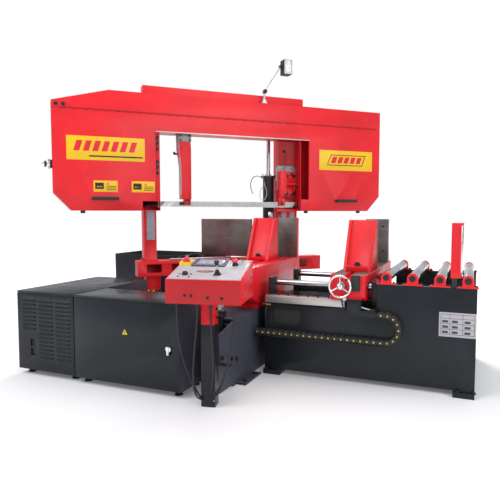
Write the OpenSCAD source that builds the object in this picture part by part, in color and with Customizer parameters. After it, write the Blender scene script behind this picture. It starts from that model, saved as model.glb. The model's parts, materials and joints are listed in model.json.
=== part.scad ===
// Double-column mitring band saw, in millimetres.
// Origin: on the floor under the swivel axis of the gantry. Stock runs along X, from +X to -X.

/* [Gantry] */
// Angle of the saw bow from the feed direction
mitre = 45; // [30:1:60]
// Lift travel of the bow
bow_travel = 540; // [300:10:600]
// Underside of the swivel arm
arm_z = 712; // [700:1:740]
// Height of the swivel arm
arm_h = 155; // [100:1:160]
// Width of the swivel arm
arm_w = 160; // [140:1:180]
// Left end of the swivel arm
arm_left = 1275; // [1250:1:1300]
// Right end of the swivel arm
arm_right = 800; // [700:1:900]
// Wall of the swivel arm
arm_wall = 12; // [8:1:20]
// Top of the columns
column_top = 2450; // [2300:10:2600]
// Front-to-back size of the columns
column_d = 140; // [100:1:150]
// Width of the left column
left_column_w = 127; // [90:1:130]
// Width of the right column
right_column_w = 230; // [180:1:240]
// Centre of the left column, left of the axis
left_column_x = 1143; // [1100:1:1150]
// Centre of the right column
right_column_x = 385; // [375:1:420]
// Running gap between bow and columns
column_gap = 2; // [1:0.5:5]
// Outer diameter of the lift cylinder
cylinder_d = 120; // [90:1:130]
// Diameter of the lift rod
lift_rod_d = 40; // [25:1:60]

/* [Bow] */
// Left end of the bow
bow_left = 2051; // [1990:1:2200]
// Right end of the bow
bow_right = 1450; // [1440:1:1600]
// Underside of the wheel cases at the top of travel
bow_bottom = 1372; // [1370:1:1380]
// Height of the wheel cases
bow_height = 1111; // [1050:1:1200]
// Half of the bow that lies in front of the blade
bow_front = 98; // [90:1:100]
// Half of the bow that lies behind the blade
bow_back = 90; // [80:1:95]
// Sheet thickness of the wheel cases
case_wall = 6; // [4:1:8]
// Left side of the throat
throat_left = 1075; // [1000:1:1090]
// Right side of the throat
throat_right = 450; // [400:1:460]
// Height of the throat under the top beam
throat_h = 752; // [700:1:760]
// Distance of the door's hinge line below the top
hinge_drop = 189; // [150:1:200]
// Depth of the front door
door_d = 24; // [15:1:30]
// Radius of the band wheels
wheel_r = 375; // [330:1:376]
// Face width of the band wheels
wheel_w = 50; // [40:1:54]
// Height of the wheel axes
wheel_z = 1816; // [1800:1:1830]
// Idler wheel axis, left of the swivel axis
idler_x = 1565; // [1540:1:1600]
// Drive wheel axis
drive_x = 1048; // [1040:1:1060]
// Diameter of the wheel shafts
shaft_d = 70; // [50:1:80]
// Width of the blade
blade_w = 54; // [41:1:67]
// Thickness of the blade
blade_t = 1.6; // [1.1:0.1:2]
// Length over which the blade twists
twist_len = 600; // [500:10:610]

/* [Tables] */
// Height of the work surface
table_h = 895; // [880:1:900]
// Height of the base top
base_h = 530; // [480:1:532]
// Width of the main jaw
jaw_w = 230; // [180:1:230]
// Height of the jaws above the work surface
jaw_h = 405; // [300:5:450]
// Length of the feed table
feed_len = 1641; // [1600:1:1800]
// Diameter of the support rollers
roller_d = 76; // [60:1:80]
// Length of the support rollers
roller_len = 1120; // [1000:1:1125]
// Number of support rollers
roller_count = 4; // [4:1:4]
// Diameter of the carriage guide rods
rod_d = 50; // [40:1:60]
// Height of the guide rods
rod_z = 765; // [760:1:775]
// Width of the feed carriage
carriage_w = 274; // [250:1:290]

/* [Cabinets and console] */
// Height of the cabinet tops
cabinet_top = 705; // [600:1:705]
// Ground clearance of the cabinets
cabinet_foot = 40; // [20:1:60]
// Sheet thickness of the cabinets
cabinet_wall = 5; // [3:0.5:8]
// Thickness of the cabinet doors
cabinet_door_t = 22; // [16:1:30]
// Width of the console
console_w = 520; // [460:1:560]
// Depth of the console
console_d = 425; // [400:1:430]
// Height of the console's front edge
console_z = 907; // [880:1:920]

/* [Fits] */
// Radial clearance of running shafts
run_gap = 0.05; // [0.02:0.01:0.1]
// Gap between sliding and swinging pieces
slide_gap = 1; // [0.5:0.1:2]

/* [Hidden] */
$fn = 48;

// Gantry
arm_near = bow_back + column_gap;
arm_far = arm_near + arm_w;
arm_top = arm_z + arm_h;
column_y = arm_near;
cylinder_x = 177;
cylinder_y = column_y + column_d / 2 - 2;
cylinder_top = arm_top + 890;
cylinder_wall = 10;
rod_low = cylinder_top - 320;
rod_head_z = bow_bottom + bow_height - 110;
foot_x = 1115;
foot_w = 150;
track_z = base_h + 18;
hub_r = 280;
pin_r = 60;

// Bow outline, in X and Z of the bow's own frame
bow_top = bow_bottom + bow_height;
beam_z = bow_bottom + throat_h;
seam_z = bow_top - hinge_drop;
corner_w = 154;
corner_h = 163;
slope_w = 500;
slope_h = 126;
frame_strip = 46;
notch_w = 176;
notch_h = 92;
step_h = 124;
step_w = 95;
door_gap = 3;
blade_z = wheel_z - wheel_r - blade_t / 2;
blade_gap = 0.3;
twist_start = 60;
guide_x = 820;
guide_w = 130;
guide_travel = 600;
fixed_guide_x = 225;
lamp_x = 34;
lamp_knee_z = bow_top + 126;
lamp_len = 331;
lamp_lean = 34;
lamp_y = -54;
top_box_front = -10;
top_box_h = 93;

// Base and feed line
base_left = -740;
base_right = 410;
base_front = -1548;
base_back = 560;
vise_left = 95;
vise_side = 430;
vise_bed = 570;
vise_front = -1340;
fence_face = 0;
fence_t = 50;
jaw_face = -240;
feed_left = 497;
feed_right = feed_left + feed_len;
feed_front = -1100;
feed_back = 80;
feed_foot = 40;
feed_low_top = 605;
feed_split = 1424;
feed_top = 672;
channel_top = 802;
channel_w = 50;
roller_z = table_h - 1 - roller_d / 2;
roller_y0 = -1070;
roller_first = 1493;
roller_pitch = 194;
journal_d = 30;
block_t = 26;
rod_front = -1000;
rod_rear = -330;
rod_left = 510;
rod_right = feed_split;
rail_front = -1120;
rail_right = 1180;
carriage_x = 1069;
carriage_front = -1150;
carriage_back = 250;
carriage_low = 668;
carriage_top = 868;
side_plate_t = 20;
feed_jaw_face = -585;
guide_post_x = 1987;
guide_roller_x = guide_post_x + 18;
guide_low = table_h - 20;
guide_high = table_h + 382;
chain_y = -1190;
chain_w = 80;
chain_h = 40;
chain_low = 343;
chain_r = 106;
chain_left = 434;
chain_right = 1497;
chain_travel = 210;

// Cabinets
cabinet_lip = 16;
hyd_left = -1405;
hyd_right = -810;
hyd_front = -1935;
hyd_back = -905;
el_left = -790;
el_right = 171;
el_front = -1950;
el_back = -1550;
lock_x = 80;
lock_z = 361;
lock_r = 16;

// Console
console_x = 455;
console_y = -2129;
console_yaw = 12;
console_low = 744;
panel_slope = 12.8;
panel_t = 3;
panel_seat = 0.02;
post_w = 100;
post_y = 174;
stem_d = 16;

// Cable routes in the console's frame, from its floor to the cable box; heights are above the ground
route_1 = [[-214, 100, 744], [-214, 100, 698], [-213, 101, 653], [-212, 101, 607], [-210, 102, 561],
    [-207, 103, 516], [-201, 104, 470], [-194, 106, 425], [-186, 108, 380], [-175, 112, 336],
    [-162, 115, 292], [-148, 120, 249], [-132, 125, 206], [-116, 131, 164], [-97, 138, 123],
    [-76, 145, 83], [-50, 150, 46]];
route_2 = [[-64, 90, 744], [-64, 90, 699], [-66, 90, 653], [-68, 90, 608], [-71, 90, 563],
    [-75, 90, 518], [-80, 90, 473], [-84, 89, 428], [-88, 89, 382], [-91, 88, 337],
    [-94, 87, 292], [-95, 87, 247], [-94, 86, 201], [-91, 86, 156], [-83, 88, 112],
    [-64, 99, 73], [-36, 124, 48]];
route_3 = [[27, 95, 744], [27, 95, 702], [28, 95, 660], [30, 94, 618], [33, 93, 577],
    [35, 93, 535], [38, 92, 493], [41, 92, 451], [43, 92, 409], [45, 92, 368],
    [46, 92, 326], [46, 92, 284], [44, 92, 242], [41, 92, 200], [34, 94, 159],
    [23, 103, 120], [10, 124, 86]];
route_4 = [[194, 110, 744], [194, 110, 701], [192, 110, 658], [189, 111, 615], [186, 112, 572],
    [181, 114, 529], [175, 115, 486], [168, 117, 444], [160, 120, 401], [151, 122, 359],
    [142, 125, 317], [131, 128, 276], [119, 132, 234], [106, 135, 193], [91, 140, 153],
    [74, 144, 114], [50, 148, 78]];
cable_d = 14;
cable_sides = 8;

red = "#d7232b";
dark_red = "#a51418";
slate = "#262b30";
side_grey = "#4b4d58";
steel = "#a09e9a";
plate = "#554e4a";
black = "#16181a";

// A box between two corners
module span(a, b) {
    translate(a) cube(b - a);
}

// A profile drawn in X and Z, from depth y0 to y1
module slab(y0, y1) {
    translate([0, y1, 0]) rotate([90, 0, 0]) linear_extrude(y1 - y0) children();
}

// A profile drawn in Y and Z, from x0 to x1
module rib(x0, x1) {
    translate([x0, 0, 0]) rotate([90, 0, 90]) linear_extrude(x1 - x0) children();
}

// A cylinder along Y
module y_rod(x, z, y0, y1, d) {
    translate([x, y1, z]) rotate([90, 0, 0]) cylinder(h = y1 - y0, d = d);
}

// A cylinder along X
module x_rod(y, z, x0, x1, d) {
    translate([x0, y, z]) rotate([0, 90, 0]) cylinder(h = x1 - x0, d = d);
}

// A cylinder along Z
module z_rod(x, y, z0, z1, d) {
    translate([x, y, z0]) cylinder(h = z1 - z0, d = d);
}

// Places its children in the frame of the saw bow
module gantry() {
    rotate([0, 0, mitre]) children();
}

// Places its children in the frame of the console, on its front top edge
module console() {
    translate([console_x, console_y, console_z]) rotate([0, 0, console_yaw]) children();
}

// Places its children on the sloping panel of the console, u across and v up the slope
module on_panel(u, v) {
    console() rotate([panel_slope, 0, 0]) translate([u, v, panel_t]) children();
}

// The points of an outline moved inwards by d
function inset(pts, d) = [for (i = [0:len(pts) - 1])
    let (n = len(pts), a = pts[(i + n - 1) % n], b = pts[i], c = pts[(i + 1) % n],
        u = (b - a) / norm(b - a), v = (c - b) / norm(c - b))
    b + d / (1 + u * v) * ([-u[1], u[0]] + [-v[1], v[0]])];

// ---- base and vises ----

module base_frame() color(side_grey) {
    plinth = 24;
    wall = 12;
    difference() {
        span([base_left, base_front, 0], [base_right, base_back, base_h]);
        span([base_left + wall, base_front + wall, plinth],
            [base_right - wall, base_back + wall, base_h - wall]);
    }
    // Pivot post, its ring and the bearing pin
    difference() {
        z_rod(0, 0, 0, base_h - wall, 400);
        z_rod(0, 0, plinth, base_h - wall - 40, 340);
    }
    z_rod(0, 0, base_h, arm_z - 166 - slide_gap, 2 * hub_r);
    z_rod(0, 0, base_h, arm_z - 166 + 30, 2 * pin_r);
    // Curved track that carries the foot of the swivel arm
    track_r = norm([foot_x, arm_near + arm_w / 2]);
    intersection() {
        difference() {
            z_rod(0, 0, base_h - 60, track_z, 2 * (track_r + 60), $fn = 360);
            z_rod(0, 0, base_h - 61, track_z + 1, 2 * (track_r - 60), $fn = 360);
        }
        linear_extrude(track_z + 10)
            polygon([[0, 0], [-1180, -737], [-1180, -1400], [0, -1400]]);
    }
    rotate([0, 0, 214]) span([track_r - 50, -40, 0], [track_r + 30, 60, base_h - 60]);
    // Side wall that reaches forward to the console
    rib(base_right - 12, base_right)
        polygon([[base_front, 20], [el_front + 60, 20], [el_front + 77, 184],
            [base_front - 232, 243], [base_front - 252, 460], [base_front, base_h - 15]]);
    // Foot plate
    span([base_right - 1, -1490, 0], [base_right + 80, -1160, 15]);
    span([base_right - 90, -1700, 170], [base_right - 12, base_front, 182]);
}

module main_vise() color(red) {
    bed_front = -1063;
    body_back = -23;
    // Side plate towards the feed side
    rib(vise_side - 20, vise_side)
        polygon([[vise_front, 720], [bed_front, vise_bed], [body_back, vise_bed], [body_back, table_h],
            [vise_front + 56, table_h], [vise_front, table_h - 30]]);
    // Bed, with a slot for the jaw's key
    difference() {
        rib(200, vise_side - 20)
            polygon([[vise_front, 720], [bed_front, vise_bed], [body_back, vise_bed],
                [body_back, table_h], [vise_front + 56, table_h], [vise_front, table_h - 30]]);
        span([225, vise_front - 1, table_h - 80], [275, body_back + 1, table_h + 1]);
    }
    span([vise_left, -1070, vise_bed], [200, body_back, table_h]);
    span([vise_left, -1060, base_h], [base_right, -320, vise_bed]);
}

module fixed_jaws() {
    // Upright on the feed side
    color(plate) span([190, fence_face, table_h - 15], [415, fence_face + fence_t, table_h + jaw_h]);
    color(red) {
        span([292, -20, base_h], [base_right, 0, table_h - 15]);
        span([292, 0, base_h], [base_right, 140, table_h - 15]);
        span([415, fence_face, table_h - 15], [427, fence_face + fence_t, table_h + jaw_h]);
        rib(330, 350) polygon([[fence_t, table_h - 15], [140, table_h - 15], [fence_t, table_h + 260]]);
    }
    // Fence on the outfeed side, held from behind
    color(plate) span([-698, fence_face, table_h - 15], [-100, fence_face + fence_t, table_h + jaw_h - 15]);
    color(red) {
        rib(-690, -420) polygon([[fence_t, base_h], [240, base_h], [240, 700], [fence_t + 60, 1150],
            [fence_t, 1150]]);
    }
}

// An upright box with rounded corners
module round_box(a, b, r) {
    span([a[0] + r, a[1], a[2]], [b[0] - r, b[1], b[2]]);
    span([a[0], a[1] + r, a[2]], [b[0], b[1] - r, b[2]]);
    for (x = [a[0] + r, b[0] - r], y = [a[1] + r, b[1] - r]) z_rod(x, y, a[2], b[2], 2 * r);
}

module outfeed_table() color(slate) {
    low = [-1620, -380, 120];
    high = [-745, 250, table_h];
    corner_r = 60;
    wall = 8;
    difference() {
        round_box(low, high, corner_r);
        round_box(low + [wall, wall, wall], high + [-wall, -wall, 1], corner_r - wall);
    }
    for (x = [low[0] + 80, high[0] - 80], y = [low[1] + 80, high[1] - 80]) z_rod(x, y, 0, low[2], 90);
}

module main_jaw() color(red) {
    jaw_x = 75;
    back = jaw_face - 16;
    front = -530;
    top_front = back - 75;
    low = table_h + slide_gap;
    top = table_h + jaw_h;
    for (x = [jaw_x, jaw_x + jaw_w - 26])
        rib(x, x + 26) polygon([[front, low], [back, low], [back, top], [top_front, top]]);
    span([jaw_x + 26, front, low], [jaw_x + jaw_w - 26, back, low + 30]);
    rib(jaw_x + 26, jaw_x + jaw_w - 26)
        polygon([[front + 60, low + 30], [back, low + 30], [back, top], [top_front + 40, top]]);
    color(plate) span([jaw_x - 5, back, low], [jaw_x + jaw_w + 5, jaw_face, top - 5]);
    // Key that runs in the slot of the bed
    span([226, front + 20, low - 60], [274, back, low]);
    z_rod(jaw_x + jaw_w / 2, front + 30, low + 30, low + 44, 34);
}

module valve_block() color(black) {
    span([250, -1690, 455], [350, -1610, 560]);
    for (x = [266, 300, 334]) y_rod(x, 525, -1725, -1690, 26);
    x_rod(-1650, 588, 240, 385, 64);
    z_rod(372, -1590, 455, 500, 36);
    // Shelf
    span([240, -1700, 440], [395, base_front, 455]);
}

// ---- cabinets ----

// A sheet cabinet that is open at the front
module cabinet(x0, x1, y0, y1) {
    difference() {
        span([x0, y0, cabinet_foot], [x1, y1, cabinet_top]);
        span([x0 + cabinet_wall, y0 - 1, cabinet_foot + cabinet_wall],
            [x1 - cabinet_wall, y1 - cabinet_wall, cabinet_top - cabinet_lip]);
    }
    // Lip of the top, over the door
    span([x0, y0 - cabinet_door_t - slide_gap, cabinet_top - cabinet_lip], [x1, y0, cabinet_top]);
    for (x = [x0 + 60, x1 - 60], y = [y0 + 60, y1 - 60]) z_rod(x, y, 0, cabinet_foot, 50);
}

module hydraulic_cabinet() color(slate)
    cabinet(hyd_left, hyd_right, hyd_front + cabinet_door_t + slide_gap, hyd_back);

module hydraulic_door() color(slate) {
    louvre_count = 15;
    louvre_pitch = (cabinet_top - 236) / (louvre_count - 1);
    difference() {
        span([hyd_left, hyd_front, cabinet_foot + 6],
            [hyd_right, hyd_front + cabinet_door_t, cabinet_top - cabinet_lip - 2]);
        span([-1270, hyd_front - 1, 171], [-1216, hyd_front + 16, 308]);
        // Three rows of louvres, the first with its lower ones left out
        for (i = [0:louvre_count - 1], x = i > 6 ? [-1345, -1166, -988] : [-1166, -988])
            span([x, hyd_front - 1, 152 + i * louvre_pitch], [x + 134, hyd_front + 5, 168 + i * louvre_pitch]);
    }
}

module power_pack() {
    color("#5a6168") difference() {
        span([-1365, -1800, cabinet_foot + cabinet_wall], [-850, -1000, 330]);
        span([-1355, -1790, 60], [-860, -1010, 320]);
    }
    color(black) {
        z_rod(-1125, -1300, 330, cabinet_top - 145, 200);
        z_rod(-1125, -1600, 330, cabinet_top - 225, 130);
    }
}

module electrical_cabinet() color(slate)
    cabinet(el_left, el_right, el_front + cabinet_door_t + slide_gap, el_back);

module electrical_door() color(slate) {
    y1 = el_front + cabinet_door_t;
    difference() {
        span([el_left, el_front, cabinet_foot + 6], [el_right, y1, cabinet_top - cabinet_lip - 2]);
        y_rod(lock_x, lock_z, el_front - 1, y1 + 1, 2 * (lock_r + run_gap));
        span([el_left + 20, el_front + 4, cabinet_foot + 26], [el_right - 140, y1 + 1, cabinet_top - 62]);
    }
}

module door_lock() color(steel) {
    y_rod(lock_x, lock_z, el_front - 8, el_front + cabinet_door_t + 8, 2 * lock_r);
    y_rod(lock_x, lock_z, el_front - 14, el_front - slide_gap, 44);
    span([lock_x - 9, el_front - 22, lock_z - 42], [lock_x + 9, el_front - 12, lock_z + 22]);
    span([lock_x - 8, el_front + cabinet_door_t + 2, lock_z - 8], [lock_x + 55, el_front + cabinet_door_t + 8, lock_z + 8]);
}

module electrical_panel() {
    back = el_back - cabinet_wall;
    top = cabinet_top - 85;
    row = (top - 300) / 2;
    color("#c8c9c4") span([el_left + 60, back - 4, 110], [el_right - 60, back, top]);
    color(black) for (k = [0:2], i = [0:6])
        span([el_left + 100 + i * 108, back - 74, 180 + k * row], [el_left + 180 + i * 108, back - 4, 270 + k * row]);
}

// ---- feed table ----

module feed_table() color(slate) {
    wall = 10;
    // Left part, under the carriage
    difference() {
        span([feed_left, feed_front, feed_foot], [feed_split, feed_back, feed_low_top]);
        span([feed_left + wall, feed_front + wall, feed_foot + wall],
            [feed_split - wall, feed_back + 1, feed_low_top - wall]);
        span([560, feed_front - 1, 425], [820, feed_front + wall + 1, 563]);
    }
    // Right part, under the rollers, with its two side channels
    difference() {
        span([feed_split, feed_front, feed_foot], [feed_right, feed_back, feed_top]);
        span([feed_split + wall, feed_front + wall, feed_foot + wall],
            [feed_right - wall, feed_back + 1, feed_top - wall]);
    }
    for (y = [feed_front, feed_back - channel_w])
        span([feed_split, y, feed_top], [feed_right, y + channel_w, channel_top]);
    // Foot plates
    for (x = [feed_left, feed_right - 150], y = [feed_front - 40, feed_back - 110])
        span([x, y, 0], [x + 150, y + 150, feed_foot]);
    // Tray under the cable chain
    span([chain_left, chain_y - 4, chain_low - 7], [chain_right + 10, feed_front, chain_low - slide_gap]);
    // Flange that joins the base
    span([base_right, -1000, 360], [feed_left, -100, base_h]);
}

// Height of the journals' centre above the channel
function block_rise() = roller_z - channel_top;

// One half-round bearing block, standing on the channel
module bearing_block(x, y) {
    width = 81;
    difference() {
        union() {
            span([x - width / 2, y, channel_top], [x + width / 2, y + block_t, roller_z]);
            y_rod(x, roller_z, y, y + block_t, width);
            span([x - 71, y - 4, channel_top], [x + 71, y + block_t, channel_top + 12]);
        }
        y_rod(x, roller_z, y - 5, y + block_t + 1, journal_d + 2 * run_gap);
        span([x - 72, y - 5, channel_top - 40], [x + 72, y + block_t + 1, channel_top]);
    }
}

module roller_blocks() color(red)
    for (i = [0:roller_count - 1], y = [roller_y0 - block_t - 2, roller_y0 + roller_len + 2])
        bearing_block(roller_first + i * roller_pitch, y);

module roller(i) color("#c9cccd") {
    x = roller_first + i * roller_pitch;
    y_rod(x, roller_z, roller_y0, roller_y0 + roller_len, roller_d);
    y_rod(x, roller_z, roller_y0 - block_t - 2, roller_y0 + roller_len + block_t + 2, journal_d);
}

module roller_1() roller(0);
module roller_2() roller(1);
module roller_3() roller(2);
module roller_4() roller(3);

module guide_post() {
    x = guide_post_x;
    front = roller_y0 - 28;
    color(red) {
        difference() {
            span([x - 34, front, guide_low], [x + 34, front + 16, guide_high]);
            span([x - 20, front - 1, guide_low + 44], [x + 20, front + 6, guide_high - 30]);
        }
        difference() {
            for (z = [guide_low, guide_high - 14]) span([x - 34, front + 16, z], [x + 48, front + 92, z + 14]);
            z_rod(guide_roller_x, front + 56, guide_low - 1, guide_high + 1, 16 + 2 * run_gap);
        }
    }
    color(black) span([x - 26, front + 2, channel_top], [x + 10, front + 16, guide_low]);
}

module guide_roller() color("#8d9296") {
    y = roller_y0 + 28;
    z_rod(guide_roller_x, y, guide_low + 14 + slide_gap, guide_high - 14 - slide_gap, 60);
    z_rod(guide_roller_x, y, guide_low, guide_high, 16);
}

module feed_rail() color(steel) {
    for (y = [rail_front, -220])
        span([506, y, feed_low_top], [rail_right, y + 72, 665]);
}

module guide_rods() color("#c9cccd")
    for (y = [rod_front, rod_rear]) x_rod(y, rod_z, rod_left, rod_right, rod_d);

module rod_supports() color(black)
    for (y = [rod_front, rod_rear]) {
        difference() {
            for (x = [rod_left, rod_right - 50])
                span([x, y - 45, feed_low_top], [x + 50, y + 45, rod_z + 42]);
            x_rod(y, rod_z, rod_left - 1, rod_right + 1, rod_d);
        }
        span([rod_left + 50, y - 12, feed_low_top], [rod_right - 50, y + 12, carriage_low - 12]);
    }

// ---- feed carriage ----

module feed_carriage() color(red) {
    x0 = carriage_x;
    x1 = x0 + carriage_w - side_plate_t;
    difference() {
        union() {
            span([x0, carriage_front, carriage_low], [x1, carriage_back, carriage_top]);
            rib(x1, x1 + side_plate_t)
                polygon([[carriage_front, carriage_low + 30], [carriage_front + 30, carriage_low],
                    [carriage_back, carriage_low], [carriage_back, carriage_top],
                    [carriage_front, carriage_top]]);
        }
        for (y = [rod_front, rod_rear])
            x_rod(y, rod_z, x0 - 1, x1 + side_plate_t + 1, rod_d + 2 * run_gap);
        // Way for the jaw's key
        span([x0 + 110, carriage_front - 1, carriage_top - 40], [x0 + 160, 20, carriage_top + 1]);
        // Seat of the handwheel shaft
        y_rod(x0 + 91, rod_z + 17, carriage_front - 1, carriage_front + 60, 24 + 2 * run_gap);
    }
    // Channel that holds the tail of the cable chain
    tail_z = chain_low + 2 * chain_r;
    tail_left = carriage_x + 144;
    tail_right = feed_split + 9;
    difference() {
        span([tail_left, chain_y - 8, tail_z - 6], [tail_right, chain_y + chain_w + 6, tail_z + chain_h + 8]);
        span([tail_left - 1, chain_y - 2, tail_z - 2], [tail_right + 1, chain_y + chain_w + 2, tail_z + chain_h + 2]);
        span([tail_left - 1, chain_y - 9, tail_z - 7], [tail_right + 1, chain_y + chain_w + 2, tail_z]);
    }
    span([tail_left, chain_y - 8, tail_z + chain_h + 8],
        [tail_left + 110, carriage_front + 20, carriage_low + 22]);
}

module feed_rear_jaw() {
    x0 = carriage_x + 53;
    color(plate) span([x0, 50, carriage_top], [x0 + 218, 90, table_h + jaw_h - 10]);
    color(red) {
        for (x = [x0 + 10, x0 + 188])
            rib(x, x + 20) polygon([[90, carriage_top], [240, carriage_top], [90, table_h + 340]]);
    }
}

module feed_jaw() color(red) {
    x0 = 1108;
    low = carriage_top + slide_gap;
    top = table_h + jaw_h - 10;
    back = feed_jaw_face - 16;
    front = -885;
    top_front = back - 60;
    for (x = [x0, x0 + jaw_w - 26])
        rib(x, x + 26) polygon([[front, low], [back, low], [back, top], [top_front, top]]);
    span([x0 + 26, front, low], [x0 + jaw_w - 26, back, low + 40]);
    rib(x0 + 26, x0 + jaw_w - 26)
        polygon([[front + 60, low + 40], [back, low + 40], [back, top], [top_front + 36, top]]);
    color(plate) span([x0 - 5, back, low], [x0 + jaw_w + 5, feed_jaw_face, top - 5]);
    span([carriage_x + 111, front + 20, low - 30], [carriage_x + 159, back, low]);
    z_rod(x0 + jaw_w / 2, front + 30, low + 40, low + 54, 34);
}

module handwheel() color("#c9cccd") {
    x = carriage_x + 91;
    z = rod_z + 17;
    rim_y = -1210;
    wheel_d = 185;
    translate([x, rim_y, z]) rotate([90, 0, 0]) rotate_extrude($fn = 64) translate([wheel_d / 2 - 9, 0]) circle(9);
    y_rod(x, z, rim_y - 16, rim_y + 16, 44);
    y_rod(x, z, rim_y, carriage_front + 50, 24);
    for (a = [90, 210, 330])
        translate([x, rim_y, z]) rotate([0, a, 0]) x_rod(0, 0, 12, wheel_d / 2 - 12, 12);
}

module chain_lower() color(black)
    span([chain_left, chain_y, chain_low], [chain_right, chain_y + chain_w, chain_low + chain_h]);

module chain_loop() color(black) {
    r = chain_r;
    translate([chain_right, chain_y, chain_low + chain_h / 2 + r]) rotate([90, 0, 0]) mirror([0, 0, 1])
        rotate([0, 0, -90]) rotate_extrude(angle = 180, $fn = 48) translate([r - chain_h / 2, 0]) square([chain_h, chain_w]);
    span([carriage_x + 154, chain_y, chain_low + 2 * r], [chain_right, chain_y + chain_w, chain_low + chain_h + 2 * r]);
}

// ---- console ----

module console_post() {
    box_h = 104;
    sleeve_h = 165;
    console() translate([0, post_y, -console_z]) {
        color(slate) span([-post_w / 2, -post_w / 2, box_h], [post_w / 2, post_w / 2, console_low - sleeve_h]);
        color(red) span([-48, -48, console_low - sleeve_h], [48, 48, console_low]);
        // Cable box at the foot
        color(black) span([-post_w / 2, -post_w / 2, 0], [post_w / 2, post_w / 2, box_h]);
    }
}

module console_head() color(red) console() {
    low = console_low - console_z;
    rise = console_d * tan(panel_slope);
    wall = 4;
    difference() {
        rib(-console_w / 2, console_w / 2)
            polygon([[0, low], [console_d, low], [console_d, rise], [0, 0]]);
        rib(-console_w / 2 + wall, console_w / 2 - wall)
            polygon([[wall, low + wall], [console_d - wall, low + wall],
                [console_d - wall, rise - 6], [wall, -6]]);
        on_head_holes();
    }
}

// Holes in the console's top, under those of the panel
module on_head_holes()
    rotate([panel_slope, 0, 0])
        for (c = CONTROLS) translate([c[0], c[1], 0]) z_rod(0, 0, -20, 1, stem_d + 2 * slide_gap);

// The button places on the panel, as u, v and the diameter of the stem's hole
CONTROLS = [[-210, 330], [155, 315], [190, 385], [120, 400], [-150, 98], [75, 110]];

module console_panel() {
    color("#c8c4c6") difference() {
        on_panel(0, 0) span([-console_w / 2 + 8, 8, panel_seat - panel_t],
            [console_w / 2 - 8, console_d / cos(panel_slope) - 8, 0]);
        for (c = CONTROLS) on_panel(c[0], c[1]) z_rod(0, 0, -panel_t - 1, 1, stem_d + 2 * run_gap);
    }
    color("#e6be14") difference() {
        on_panel(CONTROLS[0][0], CONTROLS[0][1]) span([-42, -42, 0], [42, 42, 20]);
        on_panel(CONTROLS[0][0], CONTROLS[0][1]) z_rod(0, 0, -1, 21, stem_d + 2 * run_gap);
    }
    color(black) on_panel(-35, 352) difference() {
        span([-122, -84, 0], [122, 84, 9]);
        span([-100, -62, 6], [100, 62, 10]);
    }
}

// A control with a stem through the panel
module control(i) {
    on_panel(CONTROLS[i][0], CONTROLS[i][1]) children();
}

module isolator() color(red) control(0) {
    z_rod(0, 0, -1.5, 22, stem_d);
    z_rod(0, 0, 20 + slide_gap, 34, 60);
    span([-11, -34, 30], [11, 34, 52]);
}

module emergency_stop() control(1) {
    color(red) z_rod(0, 0, 24, 44, 46);
    color(black) {
        z_rod(0, 0, -1.5, 24, stem_d);
        z_rod(0, 0, 14, 24, 30);
    }
}

module start_button() color("#1f8a4c") control(2) {
    z_rod(0, 0, -1.5, 10, stem_d);
    z_rod(0, 0, 8, 16, 28);
}

module stop_button() color(black) control(3) {
    z_rod(0, 0, -1.5, 10, stem_d);
    z_rod(0, 0, 8, 16, 28);
}

module mode_knob() color(black) control(4) {
    z_rod(0, 0, -1.5, slide_gap, stem_d);
    z_rod(0, 0, slide_gap, 22, 42);
    span([-4, 6, 20], [4, 21, 25]);
}

module joystick() color(black) control(5) {
    z_rod(0, 0, -1.5, 70, 10);
    z_rod(0, 0, 12, 18, 44);
    hull() {
        z_rod(0, 0, 70, 74, 22);
        z_rod(0, 0, 92, 96, 34);
    }
    color(red) z_rod(0, 0, 96, 101, 12);
}

// A tube swept along a route, with a ring square to the path at each point
module cable(route) {
    n = len(route);
    s = cable_sides;
    rings = [for (i = [0:n - 1])
        let (d = route[min(i + 1, n - 1)] - route[max(i - 1, 0)], t = d / norm(d),
            u = cross(t, [1, 0, 0]) / norm(cross(t, [1, 0, 0])), v = cross(t, u))
        for (k = [0:s - 1]) route[i] + cable_d / 2 * (cos(360 * k / s) * u + sin(360 * k / s) * v)];
    sides = [for (i = [0:n - 2], k = [0:s - 1])
        [i * s + k, (i + 1) * s + k, (i + 1) * s + (k + 1) % s, i * s + (k + 1) % s]];
    polyhedron(rings, concat([[for (k = [0:s - 1]) k]], sides,
        [[for (k = [s - 1:-1:0]) (n - 1) * s + k]]));
}

module cable_1() color(black) console() translate([0, 0, -console_z]) cable(route_1);
module cable_2() color(black) console() translate([0, 0, -console_z]) cable(route_2);
module cable_3() color(black) console() translate([0, 0, -console_z]) cable(route_3);
module cable_4() color(black) console() translate([0, 0, -console_z]) cable(route_4);

// ---- gantry ----

module swivel_arm() color(red) gantry() {
    difference() {
        union() {
            span([-arm_left, arm_near, arm_z], [arm_right, arm_far, arm_top]);
            // Hub disc and the web that carries the arm
            z_rod(0, 0, arm_z - 166, arm_z - 148, 2 * hub_r);
            span([-140, 60, arm_z - 148], [140, arm_far, arm_z + 1]);
        }
        span([-arm_left + arm_wall, arm_near + arm_wall, arm_z + arm_wall],
            [arm_right + 1, arm_far - arm_wall, arm_top - arm_wall]);
        z_rod(0, 0, arm_z - 170, arm_z - 130, 2 * (pin_r + run_gap));
        for (x = [-1183, -930, -600, -420, 260, 480])
            span([x, arm_near - 1, arm_z + 35], [x + 150, arm_near + arm_wall + 1, arm_top - 35]);
    }
    // Foot that slides on the curved track
    foot_y = (arm_near + arm_far) / 2;
    span([-foot_x - foot_w / 2, foot_y - 50, track_z + 22], [-foot_x + foot_w / 2, foot_y + 50, arm_z]);
    color("#b08d3c") z_rod(-foot_x, foot_y, track_z + 0.5, track_z + 22, 90);
}

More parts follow.
